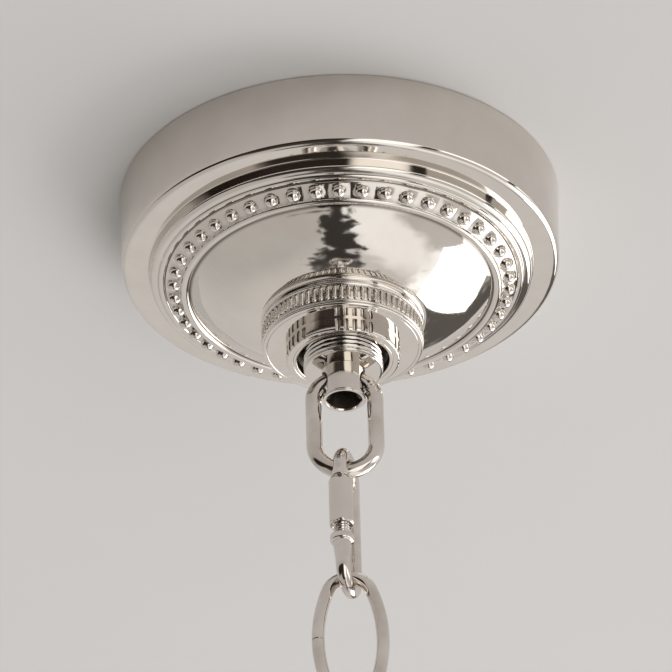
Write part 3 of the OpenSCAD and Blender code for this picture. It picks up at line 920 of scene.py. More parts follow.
@dataclass
class SeatDisc:
    """The knurled disc soldered under the canopy, which the collar pushes up."""

    top: float = 45.8
    foot: float = 54.0
    neck_r: float = 24.3
    body_r: float = 24.3
    band: Point = (47.15, 51.95)     # top and foot of the knurled band
    ribs: int = 72
    rib_depth: float = 0.48
    rib_half: float = 0.62           # half a rib's width
    bore_r: float = 13.8
    cup_r: float = 21.8
    plate: float = 2.4

    def knurl(self, angle: float, radius: float, depth: float) -> Point:
        """Raises the point where a rib stands: rounded across and round at both ends.

        Args:
            angle: the point's angle round the axis, in radians.
            radius: its distance from the axis.
            depth: its depth.

        Returns:
            The new radius and depth.
        """
        if radius < self.body_r - 0.01 or not self.band[0] < depth < self.band[1]:
            return radius, depth
        pitch = TAU / self.ribs
        across = ((angle / pitch + 0.5) % 1.0 - 0.5) * pitch * radius / self.rib_half
        end = min(depth - self.band[0], self.band[1] - depth) / 0.75
        end = 1 - min(1.0, end)
        left = 1 - across * across - end * end
        return radius + self.rib_depth * math.sqrt(max(0.0, left)), depth

    def build(self) -> bpy.types.Object:
        """Builds the disc.

        Returns:
            The piece.
        """
        top_bead = arc((self.neck_r + 0.05, self.top + 0.6), (0.5, 0.52), -80, 80, 8)
        rows = 18
        band = [(self.body_r, self.band[0] - 0.06 + (self.band[1] - self.band[0] + 0.12)
                 * (0.5 - 0.5 * math.cos(math.pi * k / rows))) for k in range(rows + 1)]
        foot = soften([(self.body_r, 52.05, 0.0), (self.body_r - 0.35, 52.2, 0.08),
                       (24.72, 52.42, 0.3), (24.72, 52.86, 0.3), (24.2, 53.06, 0.1),
                       (24.5, 53.3, 0.25), (24.3, 53.95, 0.7), (23.3, self.foot, 0.3),
                       (23.14, 53.84, 0.06), (22.98, self.foot, 0.06),
                       (self.bore_r + 0.1, self.foot, 0.1), (self.bore_r, self.foot - 0.3, 0.0)], 4)
        inner = soften([(self.bore_r, self.foot - self.plate, 0.1),
                        (self.cup_r, self.foot - self.plate, 0.6),
                        (self.cup_r, self.top + 0.2, 0.15), (self.cup_r + 0.3, self.top, 0.1),
                        (self.neck_r, self.top, 0.0)], 4)
        skin = Skin()
        skin.lathe(top_bead + band + foot + inner, self.ribs * 12, shape=self.knurl,
                   start=math.radians(-90))
        return skin.build("knurled_seat_disc")

    def make(self) -> None:
        """Builds and places the disc."""
        place(self.build(), TURNED_NICKEL, Body.CANOPY, "nickel_turned", ["seat_disc"])


@dataclass
class ScrewCollar:
    """The threaded ring with groups of finger flutes that holds the canopy up."""

    top: float = 54.0
    foot: float = 58.6
    outer_r: float = 17.4
    spigot_r: float = 13.7
    spigot: float = 3.0
    bore_r: float = 12.2
    recess_r: float = 14.05
    recess: float = 2.6
    groups: int = 5
    flutes: int = 5
    spread: float = math.radians(8.6)
    middle: float = math.radians(-77.4)
    flute_r: float = 0.75
    flute_out: float = 0.26          # how far outside the ring a flute's own middle lies
    turns: int = 900                 # vertices round the ring

    def flute(self, angle: float, radius: float, depth: float) -> Point:
        """Sinks the point where a flute is cut.

        Args:
            angle: the point's angle round the axis, in radians.
            radius: its distance from the axis.
            depth: its depth.

        Returns:
            The new radius and depth.
        """
        if radius < self.outer_r - 1.0 or depth < self.top + 0.55:
            return radius, depth
        group = TAU / self.groups
        off = (angle - self.middle + group / 2) % group - group / 2
        nearest = min(max(round(off / self.spread + 2), 0), self.flutes - 1) - 2
        across = abs(off - nearest * self.spread) * radius
        if across >= self.flute_r:
            return radius, depth
        cut = self.outer_r + self.flute_out - math.sqrt(self.flute_r**2 - across**2)
        return min(radius, cut), depth

    def build(self) -> bpy.types.Object:
        """Builds the ring.

        Returns:
            The piece.
        """
        side = dense([(self.outer_r, self.top), (self.outer_r, self.top + 0.5),
                      (self.outer_r, self.top + 0.6), (self.outer_r, self.foot - 0.8)], 1.2)
        edge = arc((self.outer_r - 0.8, self.foot - 0.8), (0.8, 0.8), 0, 90, 6)
        under = soften([(self.outer_r - 0.8, self.foot, 0.0), (15.3, self.foot, 0.1),
                        (15.18, self.foot - 0.14, 0.05), (15.06, self.foot, 0.05),
                        (self.recess_r, self.foot, 0.45),
                        (self.recess_r, self.foot - self.recess, 0.3),
                        (self.bore_r, self.foot - self.recess - 0.8, 0.1),
                        (self.bore_r, self.top - self.spigot, 0.2),
                        (self.spigot_r, self.top - self.spigot, 0.3),
                        (self.spigot_r, self.top, 0.1), (self.outer_r, self.top, 0.0)], 4)
        skin = Skin()
        skin.lathe(side + edge[1:] + under[1:-1], self.turns, shape=self.flute)
        return skin.build("fluted_screw_collar")

    def make(self) -> None:
        """Builds and places the ring, with painted shade in its recess and bore."""
        ring = self.build()
        place(ring, TURNED_NICKEL, Body.COLLAR, "nickel_turned", ["collar_ring"])
        # Painted shade on the faces of the recess and the bore.
        line(ring, PAINTED_SHADE_BORE, lambda r, h: r < self.recess_r + 0.02 and h < self.foot - 0.25)


# ---------------------------------------------------------------------------------------------
# Barrel and chain
# ---------------------------------------------------------------------------------------------


@dataclass
class LoopBarrel:
    """The threaded barrel that the collar runs on."""

    top: float = 36.2
    foot: float = 62.6
    radius: float = 12.15
    thread: float = 0.55
    thread_top: float = 46.7
    pitch: float = 1.5
    bore_r: float = 5.1
    tube_r: float = 6.5
    tube_top: float = 54.6
    passage_r: float = 4.2
    nipple_foot: float = 50.2
    screw: float = 41.2              # depth of the set screw
    screw_r: float = 1.55

    def build(self) -> bpy.types.Object:
        """Builds the barrel with a true screw thread and the set screw's hole.

        Returns:
            The piece.
        """
        plain = self.radius - self.thread
        outer = soften([(self.bore_r, self.top, 0.0), (plain, self.top, 0.4),
                        (plain, self.thread_top, 0.0)], 4)
        rows = dense([(self.radius, self.thread_top + 0.1), (self.radius, self.foot - 0.55)], 0.11)
        lead = soften([(self.radius, self.foot - 0.55, 0.0),
                       (self.radius - 0.35, self.foot - 0.1, 0.3),
                       (self.radius - 0.9, self.foot, 0.25), (self.tube_r + 0.12, self.foot, 0.1),
                       (self.tube_r, self.foot - 0.12, 0.0)], 4)
        bore = [(self.tube_r, self.tube_top), (self.passage_r, self.tube_top),
                (self.passage_r, self.nipple_foot + 1), (self.bore_r, self.nipple_foot)]
        skin = Skin()
        thread = helix(self.pitch, self.thread, self.thread_top, self.foot, 0.35)
        skin.lathe(outer + rows + lead[1:] + bore, 144, shape=self._cut(thread))
        piece = skin.build("threaded_loop_barrel")
        self._drill(piece)
        return piece

    def _cut(self, thread: Shape) -> Shape:
        """Keeps a thread to the outside of the barrel.

        Args:
            thread: the thread's shape.

        Returns:
            A shape for Skin.lathe.
        """
        def shape(angle: float, radius: float, depth: float) -> Point:
            """Cuts the thread where the point is on the outside."""
            return thread(angle, radius, depth) if radius > self.radius - 0.3 else (radius, depth)
        return shape

    def _drill(self, piece: bpy.types.Object) -> None:
        """Bores the set screw's hole through the barrel's front wall.

        Args:
            piece: the barrel.
        """
        skin = Skin()
        start, end = 3.0, self.radius + 2
        rim = [(0.0, start), (self.screw_r, start), (self.screw_r, end), (0.0, end)]
        skin.lathe(rim, 32, closed=False)
        drill = skin.build("drill")
        drill.data.transform(Matrix.Translation((0, 0, -self.screw * MM))
                             @ Matrix.Rotation(math.radians(-90), 4, "X"))
        carve(piece, drill)

    def make(self) -> None:
        """Builds and places the barrel, with painted shade in its bore."""
        barrel = self.build()
        place(barrel, TURNED_NICKEL, Body.MOUNT, "nickel_turned", ["loop_barrel"])
        # Painted shade on the faces inside the bore.
        line(barrel, PAINTED_SHADE_BORE, lambda r, h: r < self.tube_r - 0.1)


@dataclass
class WireWay:
    """The tube pressed into the barrel, cross drilled for the link that hangs from it."""

    top: float = 54.6
    foot: float = 73.0
    outer_r: float = 6.5
    bore_r: float = 5.2
    cross_r: float = 4.3              # the drilled edge is broken, so the link can swing
    cross: float = 67.4

    def build(self) -> bpy.types.Object:
        """Builds the tube with its rolled lip and its cross hole.

        Returns:
            The piece.
        """
        outline = soften([(self.bore_r, self.top, 0.0), (self.outer_r, self.top, 0.15),
                          (self.outer_r, self.foot - 0.75, 0.0),
                          (self.outer_r - 0.16, self.foot - 0.6, 0.05),
                          (self.outer_r, self.foot - 0.45, 0.05),
                          (self.outer_r - 0.08, self.foot, 0.3),
                          (self.bore_r + 0.35, self.foot, 0.25),
                          (self.bore_r, self.foot - 0.5, 0.15)], 5)
        skin = Skin()
        skin.lathe(outline, 128)
        tube = skin.build("cross_drilled_wire_way")
        drill = Skin()
        reach = 12.0
        drill.lathe([(0.0, -reach), (self.cross_r, -reach), (self.cross_r, reach), (0.0, reach)],
                    96, closed=False)
        bit = drill.build("cross_drill")
        bit.data.transform(Matrix.Translation((0, 0, -self.cross * MM))
                           @ Matrix.Rotation(math.radians(90), 4, "Y"))
        carve(tube, bit)
        return tube

    def make(self) -> None:
        """Builds and places the tube, with painted shade in its bore."""
        tube = self.build()
        place(tube, TURNED_NICKEL, Body.MOUNT, "nickel_turned", ["wireway_tube"])
        # Painted shade on the faces inside the tube's bore.
        line(tube, PAINTED_SHADE_BORE, lambda r, h: r < self.outer_r - 0.15 and h < self.foot - 0.5)


@dataclass
class TopLink:
    """The closed link that hangs in the tube's cross hole."""

    top: float = 65.3
    foot: float = 98.2
    half: float = 9.35
    corner: float = 7.5
    wire: float = 2.5
    weld: float = 0.34               # how far the butt weld stands out
    step: float = 0.55               # longest segment along the wire

    def path(self) -> list[Point]:
        """Makes the wire's middle line, clockwise from the middle of the top bar.

        Returns:
            The line's points.
        """
        flat, leg, bend = self.half - self.corner, self.top + self.corner, self.foot - self.half
        right = arc((flat, leg), (self.corner, self.corner), -90, 0, 20)
        under = arc((0.0, bend), (self.half, self.half), 0, 180, 48)
        left = arc((-flat, leg), (self.corner, self.corner), 180, 270, 20)
        return dense([(0.0, self.top)] + right + under + left, self.step)

    def build(self) -> bpy.types.Object:
        """Builds the link with its weld on the right shoulder.

        Returns:
            The piece.
        """
        path = dense(self.path() + [(0.0, self.top)], self.step)[:-1]
        weld = (self.half - 1.1, self.top + 3.4)

        def radius(i: int, turn: float) -> float:
            """Swells the wire where it was butt welded, with a step on one side.

            Args:
                i: the point's place in the path.
                turn: the angle round the wire, in radians.

            Returns:
                The wire's radius there.
            """
            gap = math.dist(path[i], weld)
            ring = math.exp(-((gap / 1.1) ** 2)) - 0.75 * math.exp(-((gap / 0.35) ** 2))
            return self.wire + self.weld * ring * (0.75 + 0.25 * math.cos(2 * turn))

        skin = Skin()
        skin.sweep(path, 0.0, radius, 40, closed=True)
        return skin.build("welded_top_link")

    def make(self) -> None:
        """Builds and places the link."""
        place(self.build(), WIRE_NICKEL, Body.TOP_LINK, "nickel_wire", ["top_link"])


@dataclass
class QuickLink:
    """The link with an opening that a threaded sleeve nut closes."""

    top: float = 93.55
    foot: float = 140.05
    half: float = 6.5
    wire: float = 2.1
    thread_r: float = 2.45
    pitch: float = 0.9
    upper_end: float = 111.24
    lower_end: float = 117.94
    stop: Point = (124.84, 127.44)
    stop_r: float = 3.6
    nut: Point = (104.54, 121.54)
    nut_flat: float = 3.6
    heading: float = math.radians(74)
    thread: float = 0.28             # depth of the thread
    fine: float = 0.12               # longest segment along a thread

    def profile(self, depth: float) -> float:
        """Gives the front leg's radius, before its threads are cut.

        Args:
            depth: the depth below the ceiling.

        Returns:
            The leg's radius there.
        """
        leg_top, leg_foot = self.top + self.half, self.foot - self.half
        marks = [(leg_top, self.wire), (leg_top + 2.2, self.thread_r),
                 (self.upper_end - 0.5, self.thread_r), (self.upper_end, self.thread_r - 0.5),
                 (self.lower_end, self.thread_r - 0.5), (self.lower_end + 0.5, self.thread_r),
                 (self.stop[0] - 0.01, self.thread_r), (self.stop[0], self.stop_r - 0.55),
                 (self.stop[0] + 0.18, self.stop_r - 0.15), (self.stop[0] + 0.55, self.stop_r),
                 (self.stop[1] - 0.55, self.stop_r), (self.stop[1] - 0.18, self.stop_r - 0.15),
                 (self.stop[1], self.stop_r - 0.55), (self.stop[1] + 0.15, self.thread_r + 0.35),
                 (leg_foot, self.wire + 0.05), (leg_foot + 2.0, self.wire)]
        if depth <= marks[0][0]:
            return marks[0][1]
        for (h0, r0), (h1, r1) in zip(marks, marks[1:]):
            if depth <= h1:
                return r0 + (r1 - r0) * (depth - h0) / max(h1 - h0, 1e-6)
        return marks[-1][1]

    def build_wire(self) -> bpy.types.Object:
        """Builds the bent wire with its two threaded ends and the stop ring.

        Returns:
            The piece.
        """
        leg_top, leg_foot = self.top + self.half, self.foot - self.half
        over = arc((0.0, leg_top), (self.half, self.half), 180, 360, 40)
        under = arc((0.0, leg_foot), (self.half, self.half), 0, 180, 40)
        upper = dense([(-self.half, self.upper_end), (-self.half, leg_top)], self.fine)
        above, below = self.stop
        stops = (below + 0.15, below, below - 0.18, below - 0.36, below - 0.55,
                 above + 0.55, above + 0.36, above + 0.18, above, above - 0.01)
        lower = dense([(-self.half, h) for h in stops], 0.5)
        lower = dense([(-self.half, leg_foot), (-self.half, stops[0])], 0.4)[1:-1] + lower
        lower += dense([(-self.half, stops[-1]), (-self.half, self.lower_end)], self.fine)[1:]
        rear = dense([(self.half, leg_top), (self.half, leg_foot)], 2.0)[1:-1]
        path = upper + over[1:] + rear + under + lower

        def radius(i: int, turn: float) -> float:
            """Gives the wire's radius, with the thread cut into the two ends.

            Args:
                i: the point's place in the path.
                turn: the angle round the wire, in radians.

            Returns:
                The wire's radius there.
            """
            x, depth = path[i]
            if x > 0:
                return self.wire
            plain = self.profile(depth)
            threaded = leg_top + 4.0 < depth < self.upper_end - 0.4 \
                or self.lower_end + 0.4 < depth < self.stop[0] - 0.15
            if not threaded:
                return plain
            wave = 0.5 - 0.5 * math.cos(TAU * depth / self.pitch - turn)
            return plain - self.thread * wave

        skin = Skin()
        skin.sweep(path, self.heading, radius, 36, closed=False)
        return skin.build("quick_link_wire")

    def build_nut(self) -> bpy.types.Object:
        """Builds the six-sided sleeve nut with turned shoulders and a countersunk mouth.

        Returns:
            The piece.
        """
        top, foot = self.nut
        bore, flat = self.thread_r + 0.05, self.nut_flat
        corner = flat * 2 / math.sqrt(3)

        def hexagon(angle: float, radius: float, depth: float) -> Point:
            """Keeps the point inside the six flats, with softly rounded corners.

            Args:
                angle: the point's angle round the axis, in radians.
                radius: its distance from the axis.
                depth: its depth.

            Returns:
                The new radius and depth.
            """
            if radius <= bore + 1.0:
                return radius, depth
            turn = (angle + math.pi / 6) % (math.pi / 3) - math.pi / 6
            limit = min(flat / math.cos(turn), corner - 0.22)
            blend = 0.03
            soft = 0.5 * (limit + radius - math.sqrt((limit - radius) ** 2 + blend * blend))
            return (soft if radius > flat * 0.72 else radius), depth

        outline = soften([(bore, top, 0.0), (flat - 0.8, top, 0.2), (corner + 0.1, top + 2.7, 1.2),
                          (corner + 0.1, foot - 0.7, 0.6), (flat - 0.25, foot, 0.35),
                          (bore + 0.85, foot, 0.15), (bore + 0.1, foot - 1.3, 0.0)], 6)
        across = Vector((math.cos(self.heading), math.sin(self.heading))) * -self.half
        skin = Skin()
        rows = dense(outline, 0.3) + dense([(bore, foot - 1.5), (bore, top)], 2.0)[:-1]
        skin.lathe(rows, 144, shape=hexagon, centre=(across.x, across.y), start=self.heading)
        return skin.build("quick_link_sleeve", math.radians(38))

    def make(self) -> None:
        """Builds and places both pieces."""
        place(self.build_wire(), WIRE_NICKEL, Body.QUICK_LINK, "nickel_wire", ["quick_link_body"])
        place(self.build_nut(), TURNED_NICKEL, Body.SLEEVE_NUT, "nickel_turned",
              ["quick_link_nut"])


@dataclass
class OvalLink:
    """The open oval link at the lower end, with its butted seam."""

    top: float = 135.95
    foot: float = 179.15
    half: float = 9.6
    end: float = 6.9
    wire: float = 1.95
    seam: float = 0.32

    def build(self) -> bpy.types.Object:
        """Builds the link from four arcs that meet smoothly.

        Returns:
            The piece.
        """
        middle, tall = (self.top + self.foot) / 2, (self.foot - self.top) / 2
        side = (((tall - self.end) ** 2 + self.half**2 - self.end**2)
                / (2 * (self.half - self.end)))
        lean = math.degrees(math.atan2(side - self.half, tall - self.end))
        path: list[Point] = []
        for centre, radius, start, sweep, steps in (
                ((0.0, middle - tall + self.end), self.end, -90 - lean, 2 * lean, 44),
                ((self.half - side, middle), side, lean - 90, 2 * (90 - lean), 60),
                ((0.0, middle + tall - self.end), self.end, 90 - lean, 2 * lean, 44),
                ((side - self.half, middle), side, 90 + lean, 2 * (90 - lean), 60)):
            path += arc(centre, (radius, radius), start, start + sweep, steps)[:-1]
        fine: list[Point] = []
        for a, b in zip(path, path[1:] + path[:1]):
            near = a[0] < 0 and abs((a[1] + b[1]) / 2 - middle) < 1.2
            parts = 7 if near else 1
            fine += [(a[0] + (b[0] - a[0]) * k / parts, a[1] + (b[1] - a[1]) * k / parts)
                     for k in range(parts)]

        def radius(i: int, turn: float) -> float:
            """Sinks the wire in a narrow groove where its ends butt.

            Args:
                i: the point's place in the path.
                turn: the angle round the wire, in radians; not used.

            Returns:
                The wire's radius there.
            """
            x, depth = fine[i]
            gap = abs(depth - middle) / (self.seam / 2)
            return self.wire - (0.3 * max(0.0, 1 - gap**2) ** 0.5 if x < 0 and gap < 1 else 0.0)

        skin = Skin()
        skin.sweep(fine, 0.0, radius, 36, closed=True)
        return skin.build("oval_chain_link")

    def make(self) -> None:
        """Builds and places the link."""
        place(self.build(), WIRE_NICKEL, Body.OVAL_LINK, "nickel_wire", ["oval_link"])


# ---------------------------------------------------------------------------------------------
# Ceiling hardware
# ---------------------------------------------------------------------------------------------


@dataclass
class MachineScrew:
    """A round-headed screw with a rolled thread and a cross slot, standing head down."""

    x: float
    tip: float                       # height of its tip above the ceiling
    seat: float                      # depth of the head's upper face
    shank_r: float = 2.08
    pitch: float = 0.8
    thread: float = 0.42
    head_r: float = 3.9
    head_h: float = 2.6
    slot_w: float = 0.9
    slot_d: float = 1.2
    thread_foot: float = 0.6         # the thread starts this far above the ceiling plane

    def turn(self, skin: Skin) -> None:
        """Adds the shank and head to a skin.

        Args:
            skin: where the faces go.
        """
        tip, neck = -self.tip, self.seat
        crown = [(self.head_r * math.cos(t) ** 0.8,
                  neck + self.head_h * (0.35 + 0.65 * math.sin(t)))
                 for t in (math.radians(a) for a in range(0, 86, 7))]
        plain = self.shank_r - 0.35
        rows = dense([(self.shank_r, tip + 0.7), (self.shank_r, -self.thread_foot)], 0.1)
        outline = ([(0.0, tip), (self.shank_r - 0.55, tip), (self.shank_r - 0.1, tip + 0.5)] + rows
                   + [(plain, -self.thread_foot + 0.3), (plain, neck), (self.head_r - 0.15, neck),
                      (self.head_r, neck + 0.2)] + crown + [(0.0, neck + self.head_h)])
        screw = helix(self.pitch, self.thread, tip - 0.4, -self.thread_foot, 0.5)

        def shape(angle: float, radius: float, depth: float) -> Point:
            """Cuts the thread on the shank only."""
            return screw(angle, radius, depth) if 1.9 < radius < 2.2 else (radius, depth)

        skin.lathe(outline, 40, closed=False, shape=shape, centre=(self.x, 0.0))


@dataclass
class ScrewSet:
    """Screws that belong to one solid: their mesh, slots and finish."""

    name: str
    node: str
    slot: str
    finish: Metal
    screws: Sequence[MachineScrew]

    def build(self) -> bpy.types.Object:
        """Builds the screws and cuts their slots.

        Returns:
            The piece.
        """
        skin, cutters = Skin(), Skin()
        for screw in self.screws:
            screw.turn(skin)
            half, reach = screw.slot_w / 2, screw.head_r * 1.3
            floor, out = screw.seat + screw.head_h - screw.slot_d, screw.seat + screw.head_h + 2
            cross = [(reach, half), (half, half), (half, reach), (-half, reach), (-half, half),
                     (-reach, half), (-reach, -half), (-half, -half), (-half, -reach),
                     (half, -reach), (half, -half), (reach, -half)]
            ring = [[cutters.add(screw.x + x, y, h) for x, y in cross] for h in (floor, out)]
            cutters.bridge(*ring)
            cutters.faces += [tuple(ring[0]), tuple(ring[1])]
        piece = skin.build(self.name)
        carve(piece, cutters.build(self.name + "_slot"))
        return piece

    def make(self) -> None:
        """Builds and places the screws."""
        place(self.build(), self.finish, Body.MOUNT, self.slot, [self.node])


@dataclass
class CeilingHardware:
    """The crossbar with its screws, nipple, nuts and washers, hidden above the canopy."""

    bar: float = 2.0                 # thickness of the crossbar
    washer: float = 0.8              # thickness of the ground screw's washer
    box_screw_x: float = 44.45
    box_screw_tip: float = 19.0
    ground_screw_x: float = 26.0
    ground_screw_tip: float = 8.0
    kept: dict[str, Metal] = field(default_factory=lambda: {
        "crossbar": ZINC, "ground_washer": ZINC, "upper_lock_washer": ZINC,
        "lower_lock_washer": ZINC, "upper_nut": BRASS, "lower_nut": BRASS,
        "barrel_lock_nut": BRASS, "threaded_nipple": BRASS, "wire_bushing": BLACK_PLASTIC,
        "set_screw": BLACK_STEEL})

    def make(self) -> None:
        """Builds the screws and dresses the solids that are kept."""
        ScrewSet("cross_slot_box_screws", "box_screws", "zinc_steel", ZINC,
                 [MachineScrew(x, self.box_screw_tip, self.bar)
                  for x in (-self.box_screw_x, self.box_screw_x)]).make()
        ScrewSet("cross_slot_ground_screw", "ground_screw", "green_screw", GREEN,
                 [MachineScrew(self.ground_screw_x, self.ground_screw_tip,
                               self.bar + self.washer)]).make()
        for node, finish in self.kept.items():
            dress(node, finish)


# ---------------------------------------------------------------------------------------------
# Studio
# ---------------------------------------------------------------------------------------------


def heading_of(azimuth: float, elevation: float) -> Vector:
    """Makes a direction from an angle to the right of straight ahead and one above level."""
    a, e = math.radians(azimuth), math.radians(elevation)
    return Vector((math.sin(a) * math.cos(e), math.cos(a) * math.cos(e), math.sin(e)))


@dataclass
class Patch:
    """A soft-edged area of the room round the object.

    Attributes:
        azimuth: degrees to the right of straight ahead.
        elevation: degrees above level.
        size: half width and half height, in degrees.
        colour: its colour.
        soft: share of the half size over which it fades.
        roll: degrees that it is turned.
        share: how much of it covers what lies behind.
        warp: how far its edges are pushed about.
        grain: fineness of that push.
    """

    azimuth: float
    elevation: float
    size: Point
    colour: Colour
    soft: float = 0.5
    roll: float = 0.0
    share: float = 1.0
    warp: float = 0.0
    grain: float = 5.0


@dataclass
class Studio:
    """The plain room: ceiling, floor, sky of soft patches, and one wide soft lamp."""

    hole_r: float = 67.4
    reach: float = 9.0               # radius of the ceiling and the floor in metres
    plaster: Colour = (0.785, 0.772, 0.768)
    plaster_grain: float = 2e-5      # depth of the paint's grain in metres
    floor: Colour = (0.72, 0.71, 0.70)
    below: float = -3.2              # the floor's height in metres
    lamp_at: tuple[float, float, float] = (1.35, 1.25, -1.05)
    lamp_size: Point = (1.5, 1.3)
    lamp_power: float = 15.0         # watts
    lamp_colour: Colour = (1.0, 0.985, 0.965)
    room: Colour = (0.56, 0.55, 0.53)
    high: Colour = (0.70, 0.69, 0.68)
    patches: Sequence[Patch] = ()

    def _sheet(self, name: str, height: float, hole: float, tone: Colour) -> bpy.types.Object:
        """Builds a round sheet, with or without a hole.

        Args:
            name: the sheet's name.
            height: its height in metres.
            hole: the hole's radius in millimetres.
            tone: its colour.

        Returns:
            The sheet, marked as stage.
        """
        skin = Skin()
        inner = hole if hole else 1e-9
        skin.lathe([(inner, 0.0), (120.0, 0.0), (400.0, 0.0), (self.reach / MM, 0.0)], 160,
                   closed=False)
        sheet = skin.build(name)
        sheet.location.z = height
        sheet.data.materials.append(self._plaster(name + "_paint", tone))
        return sheet

    def _plaster(self, name: str, tone: Colour) -> bpy.types.Material:
        """Makes matt paint that the camera sees from one side only.

        Args:
            name: the material's name.
            tone: the paint's colour.

        Returns:
            The material.
        """
        material = bpy.data.materials.new(name)
        material.use_nodes = True
        tree = material.node_tree
        paint = tree.nodes["Principled BSDF"]
        paint.inputs["Roughness"].default_value = 0.9
        paint.inputs["Specular IOR Level"].default_value = 0.1
        where = tree.nodes.new("ShaderNodeTexCoord").outputs["Object"]
        cloud = EFFECTS.ramp(tree, EFFECTS.noise(tree, where, 9.0, 4.0, 0.6), 0.25, 0.75)
        dim = tuple(c * 0.985 for c in tone)
        tree.links.new(EFFECTS.mix(tree, cloud, tone, dim), paint.inputs["Base Color"])
        grain = EFFECTS.noise(tree, where, 420.0, 3.0, 0.6)
        tree.links.new(EFFECTS.bump(tree, grain, self.plaster_grain), paint.inputs["Normal"])
        clear = tree.nodes.new("ShaderNodeBsdfTransparent")
        camera = tree.nodes.new("ShaderNodeLightPath").outputs["Is Camera Ray"]
        back = tree.nodes.new("ShaderNodeNewGeometry").outputs["Backfacing"]
        share = tree.nodes.new("ShaderNodeMixShader")
        tree.links.new(EFFECTS.math(tree, "MULTIPLY", camera, back), share.inputs[0])
        tree.links.new(paint.outputs[0], share.inputs[1])
        tree.links.new(clear.outputs[0], share.inputs[2])
        tree.links.new(share.outputs[0], tree.nodes["Material Output"].inputs[0])
        return material

    @staticmethod
    def _facing(sheet: bpy.types.Object, up: bool) -> None:
        """Turns a sheet's faces one way.

        Args:
            sheet: the sheet.
            up: whether its faces look up.
        """
        work = bmesh.new()
        work.from_mesh(sheet.data)
        turned = [f for f in work.faces if (f.normal.z > 0) != up]
        bmesh.ops.reverse_faces(work, faces=turned)
        work.to_mesh(sheet.data)
        work.free()

    def _sky(self) -> None:
        """Paints the room round the object on the world, as soft patches by direction."""
        world = bpy.data.worlds.new("room")
        bpy.context.scene.world = world
        world.use_nodes = True
        tree = world.node_tree
        ray = tree.nodes.new("ShaderNodeTexCoord").outputs["Generated"]
        split = tree.nodes.new("ShaderNodeSeparateXYZ")
        tree.links.new(ray, split.inputs[0])
        upper = EFFECTS.ramp(tree, split.outputs["Z"], -0.05, 0.1)
        colour = EFFECTS.mix(tree, upper, self.room, self.high)
        for patch in self.patches:
            colour = EFFECTS.mix(tree, self._mask(tree, ray, patch), colour, patch.colour)
        tree.links.new(colour, tree.nodes["Background"].inputs["Color"])

    @staticmethod
    def _mask(tree: bpy.types.NodeTree, ray: bpy.types.NodeSocket,
              patch: Patch) -> bpy.types.NodeSocket:
        """Makes the mask of a patch.

        Args:
            tree: the world's tree.
            ray: the direction looked in.
            patch: the patch.

        Returns:
            1 inside the patch and 0 outside, with a soft edge.
        """
        ahead = heading_of(patch.azimuth, patch.elevation)
        side = ahead.cross(Vector((0, 0, 1)) if abs(ahead.z) < 0.98 else Vector((0, 1, 0)))
        side.normalize()
        lift = side.cross(ahead)
        turn = Matrix.Rotation(math.radians(patch.roll), 3, ahead)
        if patch.warp:
            ray = Studio._pushed(tree, ray, patch)
        spans: list[bpy.types.NodeSocket] = []
        for axis, half in ((turn @ side, patch.size[0]), (turn @ lift, patch.size[1])):
            dot = tree.nodes.new("ShaderNodeVectorMath")
            dot.operation = "DOT_PRODUCT"
            tree.links.new(ray, dot.inputs[0])
            dot.inputs[1].default_value = axis
            spans.append(EFFECTS.math(tree, "POWER", EFFECTS.math(
                tree, "ABSOLUTE", EFFECTS.math(tree, "DIVIDE", dot.outputs["Value"],
                                               math.sin(math.radians(half))), 0.0), 3.0))
        reach = EFFECTS.math(tree, "ADD", *spans)
        near = EFFECTS.ramp(tree, reach, (1 + patch.soft) ** 3, max(0.0, 1 - patch.soft) ** 3)
        front = tree.nodes.new("ShaderNodeVectorMath")
        front.operation = "DOT_PRODUCT"
        tree.links.new(ray, front.inputs[0])
        front.inputs[1].default_value = ahead
        same = EFFECTS.math(tree, "GREATER_THAN", front.outputs["Value"], 0.0)
        near = EFFECTS.math(tree, "MULTIPLY", near, same)
        return EFFECTS.math(tree, "MULTIPLY", near, patch.share)

    @staticmethod
    def _pushed(tree: bpy.types.NodeTree, ray: bpy.types.NodeSocket,
                patch: Patch) -> bpy.types.NodeSocket:
        """Pushes directions about, so that a patch gets broken, wavy edges.

        Args:
            tree: the world's tree.
            ray: the direction looked in.
            patch: the patch.

        Returns:
            The pushed direction.
        """
        noise = tree.nodes.new("ShaderNodeTexNoise")
        noise.inputs["Scale"].default_value = patch.grain
        noise.inputs["Detail"].default_value = 3.0
        tree.links.new(ray, noise.inputs["Vector"])
        push = tree.nodes.new("ShaderNodeVectorMath")
        push.operation = "MULTIPLY_ADD"
        tree.links.new(noise.outputs["Color"], push.inputs[0])
        push.inputs[1].default_value = (patch.warp,) * 3
        push.inputs[2].default_value = (-patch.warp / 2,) * 3
        total = tree.nodes.new("ShaderNodeVectorMath")
        tree.links.new(ray, total.inputs[0])
        tree.links.new(push.outputs[0], total.inputs[1])
        return total.outputs[0]

    def _lamp(self) -> None:
        """Places the wide soft lamp."""
        lamp = bpy.data.lights.new("soft_window", "AREA")
        lamp.shape = "RECTANGLE"
        lamp.size, lamp.size_y = self.lamp_size
        lamp.energy = self.lamp_power
        lamp.color = self.lamp_colour
        stand = bpy.data.objects.new("soft_window", lamp)
        stand.location = self.lamp_at
        stand.rotation_euler = (-stand.location).to_track_quat("-Z", "Y").to_euler()
        bpy.context.scene.collection.objects.link(stand)

    def make(self) -> None:
        """Builds the ceiling, the floor, the room and the lamp."""
        ceiling = self._sheet("plaster_ceiling", 0.0001, self.hole_r, self.plaster)
        self._facing(ceiling, up=False)
        floor = self._sheet("pale_floor", self.below, 0.0, self.floor)
        self._facing(floor, up=True)
        floor.visible_diffuse = floor.visible_glossy = floor.visible_shadow = False
        floor.visible_transmission = False
        self._sky()
        self._lamp()
        LOG.info("studio: %d patches", len(self.patches))


